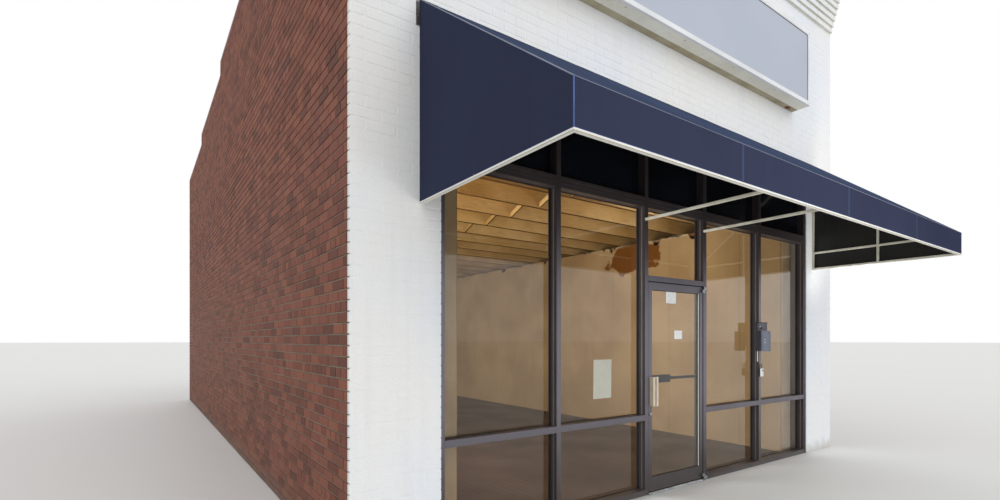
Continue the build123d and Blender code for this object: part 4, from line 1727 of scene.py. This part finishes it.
@dataclass
class StreetDoor:
    """The glazed leaf with its pull, push bar, lock and two bare plates."""

    edge: float = 0.0015
    push_bar_edge: float = 0.003
    gasket: float = 0.004
    gasket_depth: float = 0.003
    bead: float = 0.006
    bead_out: float = 0.008
    band_x: Pair = (0.012, 0.054)
    band_end: float = 0.002
    plate: float = 0.0006
    plate_corner: float = 0.004

    def build(self) -> None:
        """Builds the leaf's pieces."""
        eased_copy("door_stiles", "door_stile_bars", self.edge, BRONZE_WITH_LIT_FRONTS, DOOR)
        eased_copy("door_rails", "door_rail_bars", self.edge, BRONZE_WITH_LIT_FRONTS, DOOR)
        eased_copy("panic_bar", "push_bar", self.push_bar_edge, DARK_BAR, DOOR)
        dress(GLASS, "door_glass")
        dress(MILL, "leaf_pivots", "door_lock")
        dress(CREAM, "pull_handle")
        self.gaskets()
        self.lip_band()
        self.plates()

    def lip_band(self) -> None:
        """Lays a grey brown strip up the pull's lip, as painted shade."""
        low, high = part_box("pull_handle")
        left, right = (low.x + inset for inset in self.band_x)
        bottom, top = low.z + self.band_end, high.z - self.band_end
        strip = block("pull_grip", (left, low.y - self.plate, bottom), (right, low.y, top))
        hand_over(strip, PULL_LIP_SHADE, DOOR)

    def gaskets(self) -> None:
        """Beds the door's glass in rubber, and shows the bare edge of its bead on the hinge side."""
        low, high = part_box("door_glass")
        left, right = low.x + Storefront.bite, high.x - Storefront.bite
        bottom, top = low.z + Storefront.bite, high.z - Storefront.bite
        strips = []
        for y0, y1 in ((low.y - self.gasket_depth, low.y), (high.y, high.y + self.gasket_depth)):
            strips.append(ring("strip", (left, y0, bottom), (right, y1, top), self.gasket))
        hand_over(join("door_gaskets", strips), RUBBER, DOOR)
        near, far = low.y - self.bead_out, low.y - self.gasket_depth
        bead = block("door_glass_bead", (right - self.bead, near, bottom), (right, far, top))
        hand_over(bead, TRIM, DOOR)

    def plates(self) -> None:
        """Sticks two bare white plates to the glass, where a shop shows its number."""
        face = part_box("door_glass")[0].y
        spots = {"top_plate": (-0.186, -0.025, 1.917, 2.035), "number_plate": (-0.047, 0.078, 1.548, 1.636)}
        for name, (x0, x1, z0, z1) in spots.items():
            made = block(name, (x0, face - self.plate, z0), (x1, face, z1))
            with editing(made, lambda centre, normal: abs(normal.x) > 0.9):
                bpy.ops.mesh.bevel(offset=self.plate_corner, segments=3, affect="EDGES")
            hand_over(made, DIAL, DOOR)


@dataclass
class UtilityBoxes:
    """The two grey boxes and the pale key box on the fourth mullion."""

    cover: float = 0.018
    rim: float = 0.01
    rim_rise: float = 0.003
    edge: float = 0.003
    case_inset: float = 0.003
    lens: float = 0.014
    lens_at: Pair = (0.05, -0.016)
    lens_out: float = 0.009
    lens_sunk: float = 0.004
    glint_radius: float = 0.008
    glint_out: float = 0.003
    glint_shift: Pair = (-0.018, 0.012)
    lid: float = 0.008
    lid_reach: float = 0.002
    screw: ScrewHead = field(default_factory=lambda: ScrewHead(0.008, 0.0025))
    screw_x: float = 0.064
    screw_rises: Pair = (0.14, 0.109)
    cable: float = 0.005
    cable_set_back: float = 0.013
    cable_top: float = 0.06
    cable_drop: float = 0.128
    shackle: float = 0.004
    shackle_rise: float = 0.052
    shackle_inset: float = 0.012
    key_case_back: float = 0.008
    key_case_edge: float = 0.004
    key_door: float = 0.0075
    dial: float = 0.011
    dial_inset: Pair = (0.02, 0.026)
    dial_out: float = 0.003
    dial_sunk: float = 0.001

    def build(self) -> None:
        """Builds each box with its fittings."""
        key, service, meter = sorted(solids_of("utility_boxes"), key=lambda box: box[0].z)
        self.case("service_box", service, BOX_BLUE)
        self.case("meter_box", meter, BOX_GREY)
        self.meter_parts(*meter)
        self.service_parts(*service)
        self.key_parts(*key)

    def case(self, name: str, box: Box, finish: Finish) -> None:
        """Builds a charcoal case, whose sides show painted shade, with a lighter cover that has a raised rim.

        Args:
            name: The box's name.
            box: Its lowest and highest corner.
            finish: Its cover's finish.
        """
        low, high = box
        inset = Vector((self.case_inset, self.cover, self.case_inset))
        body = block(f"{name}_body", low + inset, high, self.edge)
        hand_over(body, CHARCOAL_AND_SIDE_SHADE, BUILDING, ("utility_boxes",))
        cover = block(f"{name}_cover", low, (high.x, low.y + self.cover, high.z))
        with editing(cover, lambda centre, normal: normal.y < -0.95):
            bpy.ops.mesh.inset(thickness=self.rim)
            bpy.ops.mesh.inset(thickness=self.rim_rise, depth=-self.rim_rise)
        modify(cover, "BEVEL", width=self.edge / 3, segments=2, limit_method="ANGLE", angle_limit=ROUND_ANGLE)
        hand_over(cover, finish, BUILDING, ("utility_boxes",))

    def meter_parts(self, low: Vector, high: Vector) -> None:
        """Adds the round lens and the rubber lid of the upper box, and a white dot on the lens as a painted
        glint.

        Args:
            low: The box's lowest corner.
            high: Its highest corner.
        """
        right, up = self.lens_at
        x, z = low.x + right, (low.z + high.z) / 2 + up
        back = low.y + self.lens_sunk
        lens = rod("lens", (x, low.y - self.lens_out, z), (x, back, z), self.lens, 24)
        reach = self.lid_reach
        lid_low = (low.x - reach, low.y - 2 * reach, high.z - self.lid)
        lid = block("lid", lid_low, (high.x + reach, high.y, high.z), reach)
        hand_over(join("meter_lens_and_lid", [lens, lid]), RUBBER)
        # A small white rod off the lens's centre is a painted glint
        right, up = self.glint_shift
        x, z = x + right, z + up
        glint = rod("meter_lens_ring", (x, low.y - self.glint_out, z), (x, back, z), self.glint_radius)
        hand_over(glint, WHITE_METAL)

    def service_parts(self, low: Vector, high: Vector) -> None:
        """Adds the two screws of the lower box, white as a painted highlight on their heads, and the cable
        beside the mullion.

        Args:
            low: The box's lowest corner.
            high: Its highest corner.
        """
        face = low.y + self.rim_rise
        spots = [(low.x + self.screw_x, face, low.z + rise) for rise in self.screw_rises]
        screws = self.screw.model("service_box_screws", spots, (0, -1, 0))
        # White enamel on the screw heads paints their glints
        hand_over(screws, WHITE_METAL)
        mullion = solids_of("mullions")[-1][0]
        x, y = mullion.x - self.cable, mullion.y + self.cable_set_back
        foot, top = low.z - self.cable_drop, low.z + self.cable_top
        cable = rod("service_box_cable", (x, y, foot), (x, y, top), self.cable)
        hand_over(cable, TRIM)

    def key_parts(self, low: Vector, high: Vector) -> None:
        """Builds the key box: a dark case and shackle, a pale door and a dark dial.

        Args:
            low: The box's lowest corner.
            high: Its highest corner.
        """
        body = block("key_case", (low.x, low.y + self.key_case_back, low.z), high, self.key_case_edge)
        y = (low.y + high.y) / 2
        foot, top = high.z - self.shackle, high.z + self.shackle_rise
        left, right = low.x + self.shackle_inset, high.x - self.shackle_inset
        bars = [rod("leg", (x, y, foot), (x, y, top), self.shackle) for x in (left, right)]
        bars.append(rod("bow", (left, y, top), (right, y, top), self.shackle))
        case = join("key_box_case", [body, *bars])
        # The case's charcoal makes the key box's sides dark: painted shade
        hand_over(case, CHARCOAL_AND_SIDE_SHADE, BUILDING, ("utility_boxes",))
        door = block("key_box_door", low, (high.x, low.y + self.key_door, high.z), self.edge)
        hand_over(door, WHITE_METAL, BUILDING, ("utility_boxes",))
        x, z = high.x - self.dial_inset[0], high.z - self.dial_inset[1]
        ends = ((x, low.y - self.dial_out, z), (x, low.y + self.dial_sunk, z))
        hand_over(rod("key_box_dial", *ends, self.dial, 20), RUBBER)


# Awning
@dataclass
class Awning:
    """Canvas laced over a tube frame: a sloped top, a short front and two closed ends."""

    sag: float = 0.012
    ripple: float = 0.0015
    belly: float = 0.003
    end_sag: float = 0.0012
    thick: float = 0.0015
    fold_rise: float = 0.0038
    tube_edge: float = 0.003
    seam_width: float = 0.022
    seam_rise: float = 0.0008
    seam_thick: float = 0.0012
    seam_end: float = 0.01
    seams: tuple[float, ...] = (-1.579, -0.032, 1.515)
    piping: float = 0.0035
    hem: float = 0.003
    hem_gap: float = 0.002
    fold_highlight: float = 0.002
    fold_highlight_in: float = 0.0005
    bead_height: float = 0.011
    bead_edge: float = 0.0015
    bead_gap: float = 0.002
    web_set_back: float = 0.002
    web_edge: float = 0.004

    def build(self) -> None:
        """Builds the awning."""
        (self.left, _, self.bottom), (self.right, _, self.head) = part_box("awning_ends")
        self.front, self.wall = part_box("awning_front")[0].y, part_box("awning_top")[1].y
        self.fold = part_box("awning_front")[1].z + self.fold_rise
        for node, name in (
            ("awning_end_frames", "end_frame_tubes"),
            ("awning_rails", "rail_tubes"),
            ("awning_ties", "tie_tubes"),
        ):
            finish = TUBE_ZINC if name == "tie_tubes" else HEMMED_ZINC
            eased_copy(node, name, self.tube_edge, finish)
        self.sheets()
        self.seam_strips()
        self.edging()
        self.trim()

    def slope_point(self, along: float, up: float) -> Vector:
        """Finds a point on the sloped top, which hangs a little between its tubes.

        Args:
            along: The share of the way from left to right.
            up: The share of the way from the fold to the wall.

        Returns:
            The point.
        """
        x = self.left + (self.right - self.left) * along
        y = self.front + (self.wall - self.front) * up
        z = self.fold + (self.head - self.fold) * up
        run = Vector((0.0, self.wall - self.front, self.head - self.fold)).normalized()
        inward = Vector((0.0, run.z, -run.y))
        hang = self.sag * 4 * up * (1 - up) * min(1.0, 12 * along, 12 * (1 - along))
        ripple = self.ripple * math.sin(along * 61.0) * math.sin(math.pi * up) ** 2
        return Vector((x, y, z)) + inward * (hang + ripple)

    def front_point(self, along: float, up: float) -> Vector:
        """Finds a point on the short front.

        Args:
            along: The share of the way from left to right.
            up: The share of the way from its foot to the fold.

        Returns:
            The point.
        """
        belly = self.belly * math.sin(math.pi * up) * (0.6 + 0.4 * math.sin(along * 23.0))
        x = self.left + (self.right - self.left) * along
        return Vector((x, self.front + belly, self.bottom + (self.fold - self.bottom) * up))

    def end_point(self, x: float, inward: float, along: float, up: float) -> Vector:
        """Finds a point on a closed end.

        Args:
            x: Where the end is.
            inward: The way into the awning: 1 at the left end, -1 at the right one.
            along: The share of the way from the wall to the front.
            up: The share of the way from its foot to the slope.

        Returns:
            The point.
        """
        y = self.wall + (self.front - self.wall) * along
        top = self.head + (self.fold - self.head) * along
        hollow = self.end_sag * abs(math.sin(math.tau * along) * math.sin(math.tau * up))
        return Vector((x + inward * hollow, y, self.bottom + (top - self.bottom) * up))

    def sheets(self) -> None:
        """Makes the four sheets of canvas."""
        top = sheet_of("canvas_top", 120, 32, self.slope_point)
        front = sheet_of("canvas_front", 160, 8, self.front_point)
        ends = {
            "canvas_left_end": (self.left, 1.0, LEFT_CANVAS),
            "canvas_right_end": (self.right, -1.0, RIGHT_CANVAS),
        }
        # The slope gets the paler canvas: painted light from the sky
        self.lace(top, CANVAS_PAINTED_LIGHT, "awning_top")
        self.lace(front, CANVAS, "awning_front")
        made = []
        for name, (x, inward, finish) in ends.items():
            sheet = sheet_of(name, 32, 28, partial(self.end_point, x, inward))
            made.append(self.lace(sheet, finish, None))
        for sheet in made:
            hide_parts("awning_ends")

    def lace(
        self,
        sheet: Piece,
        finish: Finish,
        node: Optional[str],
    ) -> Piece:
        """Gives a sheet its thickness and its finish, and hides the CAD node that it stands for.

        Args:
            sheet: The sheet.
            finish: The canvas, whose back looks the sheet's own way.
            node: The CAD node that it stands for.

        Returns:
            The sheet.
        """
        modify(sheet, "SOLIDIFY", thickness=self.thick, offset=0.0)
        smooth(sheet)
        hand_over(sheet, finish, BUILDING, (node,) if node else ())
        return sheet

    def seam_strips(self) -> None:
        """Sews the laps between the widths of canvas, over the top and down the front."""
        strips = []
        width = self.right - self.left
        half = self.seam_width / width / 2
        faces = ((self.slope_point, SLOPE_OUT), (self.front_point, Vector((0, -1, 0))))
        for x in self.seams:
            middle = (x - self.left) / width
            for point, out in faces:

                def place(along: float, up: float) -> Vector:
                    """Returns a point of the lap, just over the canvas."""
                    share = self.seam_end + up * (1 - 2 * self.seam_end)
                    return point(middle + (along * 2 - 1) * half, share) + out * self.seam_rise

                strip = sheet_of("seam", 2, 24, place)
                modify(strip, "SOLIDIFY", thickness=self.seam_thick, offset=0.0)
                strips.append(strip)
        # The laps take the slope's paler canvas, so down the front they show as lighter lines: painted
        # highlight
        hand_over(join("canvas_seams", strips), CANVAS_PAINTED_LIGHT)

    def edging(self) -> None:
        """Sews piping into the corners and along the lower edge."""
        inset = self.piping / 2
        left, right, front, wall = self.left, self.right, self.front, self.wall
        low, fold = self.bottom + self.bead_height + self.hem_gap, self.fold
        y = front + inset
        corners = []
        edges = []
        for x in (left + inset, right - inset):
            corners.append(rod("cord", (x, y, low), (x, y, fold), self.piping, 10))
            edges.append(rod("cord", (x, y, fold), (x, wall, self.head), self.piping, 10))
        # A thin grey cord along the fold paints the highlight on the fold's edge
        fold_y = front + self.fold_highlight_in
        edges.append(rod("cord", (left, fold_y, fold), (right, fold_y, fold), self.fold_highlight, 8))
        hem = [
            rod("cord", (left, y, low), (right, y, low), self.hem, 8),
            rod("cord", (left + inset, front, low), (left + inset, wall, low), self.hem, 8),
            rod("cord", (right - inset, front, low), (right - inset, wall, low), self.hem, 8),
        ]
        hand_over(join("canvas_piping", corners + hem), PIPING)
        hand_over(join("canvas_edge_cord", edges), CORD_AND_FOLD_HIGHLIGHT)

    def trim(self) -> None:
        """Makes the white double bead along the lower edge."""
        beads = []
        for low, high in solids_of("awning_trim"):
            top = low.z + self.bead_height
            middle = (low.z + top) / 2
            half = self.bead_gap / 2
            for z0, z1 in ((low.z, middle - half), (middle + half, top)):
                beads.append(block("bead", (low.x, low.y, z0), (high.x, high.y, z1), self.bead_edge))
            z0, z1 = low.z + self.web_edge, top - self.web_edge
            if high.x - low.x > high.y - low.y:
                web = block("web", (low.x, low.y + self.web_set_back, z0), (high.x, high.y, z1))
            else:
                web = block("web", (low.x + half, low.y, z0), (high.x - half, high.y, z1))
            beads.append(web)
        hand_over(join("awning_edge_trim", beads), TRIM, BUILDING, ("awning_trim",))


@dataclass
class WallSign:
    """A shallow sign cabinet with a white retainer and a bare face."""

    mount_edge: float = 0.002
    frame_edge: float = 0.004
    gasket: float = 0.006
    gasket_depth: float = 0.003
    gasket_edge: float = 0.001
    screw: ScrewHead = field(default_factory=lambda: ScrewHead(0.006, 0.002))
    screw_inset: float = 0.026
    sunk: float = 0.0005
    first_rivet: float = -1.933
    rivet_spacing: float = 0.879
    rivet_inset: float = 0.037
    drain_spot: Pair = (2.187, -5.425)
    drain_radius: float = 0.011
    stain_radius: float = 0.034
    stain_thick: float = 0.0012
    stain_swing: float = 0.22
    stain_stretch: Pair = (1.6, 0.8)

    def build(self) -> None:
        """Builds the sign."""
        eased_copy("sign_mount", "sign_mounting_frame", self.mount_edge, SIGN_TAN)
        eased_copy("sign_cabinet", "sign_body", self.mount_edge, SIGN_SHEET)
        eased_copy("sign_retainer", "sign_frame", self.frame_edge, WHITE_METAL)
        dress(SIGN_FACE, "sign_face")
        low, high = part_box("sign_face")
        front = (low.x, low.y - self.gasket_depth, low.z)
        # A real seal, whose olive colour paints the shadow line between the face and the retainer
        seal = ring("sign_gasket", front, (high.x, low.y, high.z), self.gasket, self.gasket_edge)
        hand_over(seal, GASKET)
        self.fixings()

    def fixings(self) -> None:
        """Puts screws in the retainer and rivets under the body."""
        low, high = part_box("sign_retainer")
        inset = self.screw_inset
        spots = []
        for z in (low.z + inset, high.z - inset):
            spots += [(x, low.y + self.sunk, z) for x in (low.x + inset, high.x - inset)]
        screws = self.screw.model("sign_screws", spots, (0, -1, 0))
        hand_over(screws, GALVANISED)
        body_low, body_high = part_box("sign_cabinet")
        under = body_low.z + self.sunk
        rivets = []
        x = self.first_rivet
        while x < body_high.x:
            rivets.append((x, body_low.y + self.rivet_inset, under))
            x += self.rivet_spacing
        heads = self.screw.model("sign_rivets", rivets, (0, 0, -1))
        hand_over(heads, GASKET)
        self.drain(*self.drain_spot, under)

    def drain(self, x: float, y: float, z: float) -> None:
        """Marks a drain hole in the underside as a black disc of painted shade, with a ragged ring of rust
        round it.

        Args:
            x: Where the hole is, across the building.
            y: Where it is, front to back.
            z: The underside's height.
        """
        stain = rod("sign_rust_stain", (x, y, z), (x, y, z - self.stain_thick), self.stain_radius, 28)
        wide, deep = self.stain_stretch
        for corner in stain.data.vertices:
            angle = math.atan2(corner.co.y - y, corner.co.x - x)
            swing = 1 + self.stain_swing * math.sin(5 * angle + 0.7)
            corner.co.x = x + (corner.co.x - x) * swing * wide
            corner.co.y = y + (corner.co.y - y) * swing * deep
        hand_over(stain, RUST)
        # The hole is a black disc on the underside: painted shade for the dark inside it
        hole = rod("sign_drain_hole", (x, y, z - 0.001), (x, y, z - 0.0018), self.drain_radius, 20)
        hand_over(hole, RUBBER)


@dataclass(frozen=True)
class Lamp:
    """A square lamp: its place, what it points at, its side, its watts and its beam in degrees."""

    place: Triple
    target: Triple
    size: float
    power: float
    spread: float = 180.0


# Two lamps stand in front: one for the street's light, a small one for the pier under the awning. Three
# stand in the room: one for the room itself, and two that light its right wall, in front and at the rear
LAMPS = {
    "street": Lamp((-0.2, -9.6, 0.85), (-0.3, -5.4, 3.0), 1.6, 24.0, 140.0),
    "awning": Lamp((2.85, -6.6, 0.7), (2.87, -5.4, 3.6), 0.3, 3.4, 40.0),
    "room": Lamp((0.9, -4.6, 2.55), (1.2, 0.0, 2.75), 1.1, 16.0),
    "side": Lamp((-2.3, -3.4, 1.6), (2.5, -4.2, 2.2), 2.0, 145.0),
    "rear": Lamp((-2.4, 2.6, 1.5), (2.5, 2.6, 2.2), 2.6, 90.0),
}


@dataclass
class Studio:
    """The plain floor, the soft lamps and the camera."""

    # The camera stands left of the shop and looks along it to the right
    eye_x: float = -4.636
    eye_out: float = 3.3005
    eye_z: float = 1.536
    yaw: float = -0.6197
    lens: float = 18.528
    sensor: float = 36.0
    shift: Pair = (-0.00306, 0.0901)
    floor_half: float = 400.0
    sky: float = 0.72
    sun: float = 0.9
    sun_from: Triple = (0.12, -0.85, 0.5)
    sun_angle: float = math.radians(70)

    def camera(self) -> None:
        """Sets the camera where the photograph was taken from."""
        data = bpy.data.cameras.new("camera")
        data.sensor_width = self.sensor
        data.lens = self.lens
        data.shift_x, data.shift_y = self.shift
        data.clip_end = 1000.0
        obj = bpy.data.objects.new("camera", data)
        bpy.context.scene.collection.objects.link(obj)
        obj.location = (self.eye_x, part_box("left_pier")[0].y - self.eye_out, self.eye_z)
        obj.rotation_euler = (math.pi / 2, 0.0, self.yaw)
        bpy.context.scene.camera = obj

    def daylight(self) -> None:
        """Adds soft light from the front, as from a very large diffuser far away."""
        data = bpy.data.lights.new("daylight", "SUN")
        data.energy = self.sun
        data.angle = self.sun_angle
        obj = bpy.data.objects.new("daylight", data)
        bpy.context.scene.collection.objects.link(obj)
        obj.rotation_euler = (-Vector(self.sun_from)).to_track_quat("-Z", "Y").to_euler()
        obj.visible_glossy = False
        obj.visible_transmission = False

    def light(self, name: str, lamp: Lamp) -> None:
        """Adds a square lamp that nothing sees or mirrors.

        Args:
            name: The lamp's name.
            lamp: The lamp.
        """
        data = bpy.data.lights.new(name, "AREA")
        data.size = lamp.size
        data.energy = lamp.power
        data.spread = math.radians(lamp.spread)
        obj = bpy.data.objects.new(name, data)
        bpy.context.scene.collection.objects.link(obj)
        obj.location = lamp.place
        obj.rotation_euler = (Vector(lamp.target) - Vector(lamp.place)).to_track_quat("-Z", "Y").to_euler()
        obj.visible_camera = False
        obj.visible_glossy = False
        obj.visible_transmission = False

    def world(self) -> None:
        """Lights the building evenly and shows white behind it."""
        world = bpy.data.worlds.new("studio")
        bpy.context.scene.world = world
        world.use_nodes = True
        world.node_tree.nodes.clear()
        net = Wiring(world.node_tree)
        path = net.add("LightPath").outputs
        seen = path["Is Camera Ray"]
        for name in ("Is Glossy Ray", "Is Transmission Ray"):
            seen = net.maths("MAXIMUM", seen, path[name])
        strength = net.ranged(seen, 0.0, 1.0, self.sky)
        light = net.add("Background", {"Color": (1.0, 1.0, 1.0, 1.0), "Strength": strength})
        net.add("OutputWorld", {"Surface": light.outputs["Background"]})

    def floor(self) -> None:
        """Lays a plain pale floor just under the building."""
        bpy.ops.object.select_all(action="DESELECT")
        bpy.ops.mesh.primitive_plane_add(size=2 * self.floor_half, location=(0.0, 0.0, -0.001))
        plane = bpy.context.object
        plane.name = "studio_floor"
        settle(plane)
        pale = Finish("pale_studio_floor", "#ebebe9", "#ededec", patch=4.0, grit=0.5, mottle=0.0, relief=0.0)
        plane.data.materials.append(pale.material())

    def build(self) -> None:
        """Builds the studio."""
        scene = bpy.context.scene
        scene.view_settings.view_transform = "Standard"
        self.camera()
        self.world()
        self.floor()
        self.daylight()
        for name, lamp in LAMPS.items():
            self.light(name, lamp)


def main() -> None:
    """Builds the building round its CAD frame."""
    logging.basicConfig(level=logging.INFO, format="%(message)s")
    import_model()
    Studio().build()
    dress(LINTEL_PAINT, "steel_lintel")
    for assembly in (
        Masonry(),
        Copings(),
        Roof(),
        RearDoor(),
        Interior(),
        Storefront(),
        StreetDoor(),
        UtilityBoxes(),
        Awning(),
        WallSign(),
    ):
        LOG.info("building %s", type(assembly).__name__)
        assembly.build()


if __name__ == "__main__":
    main()
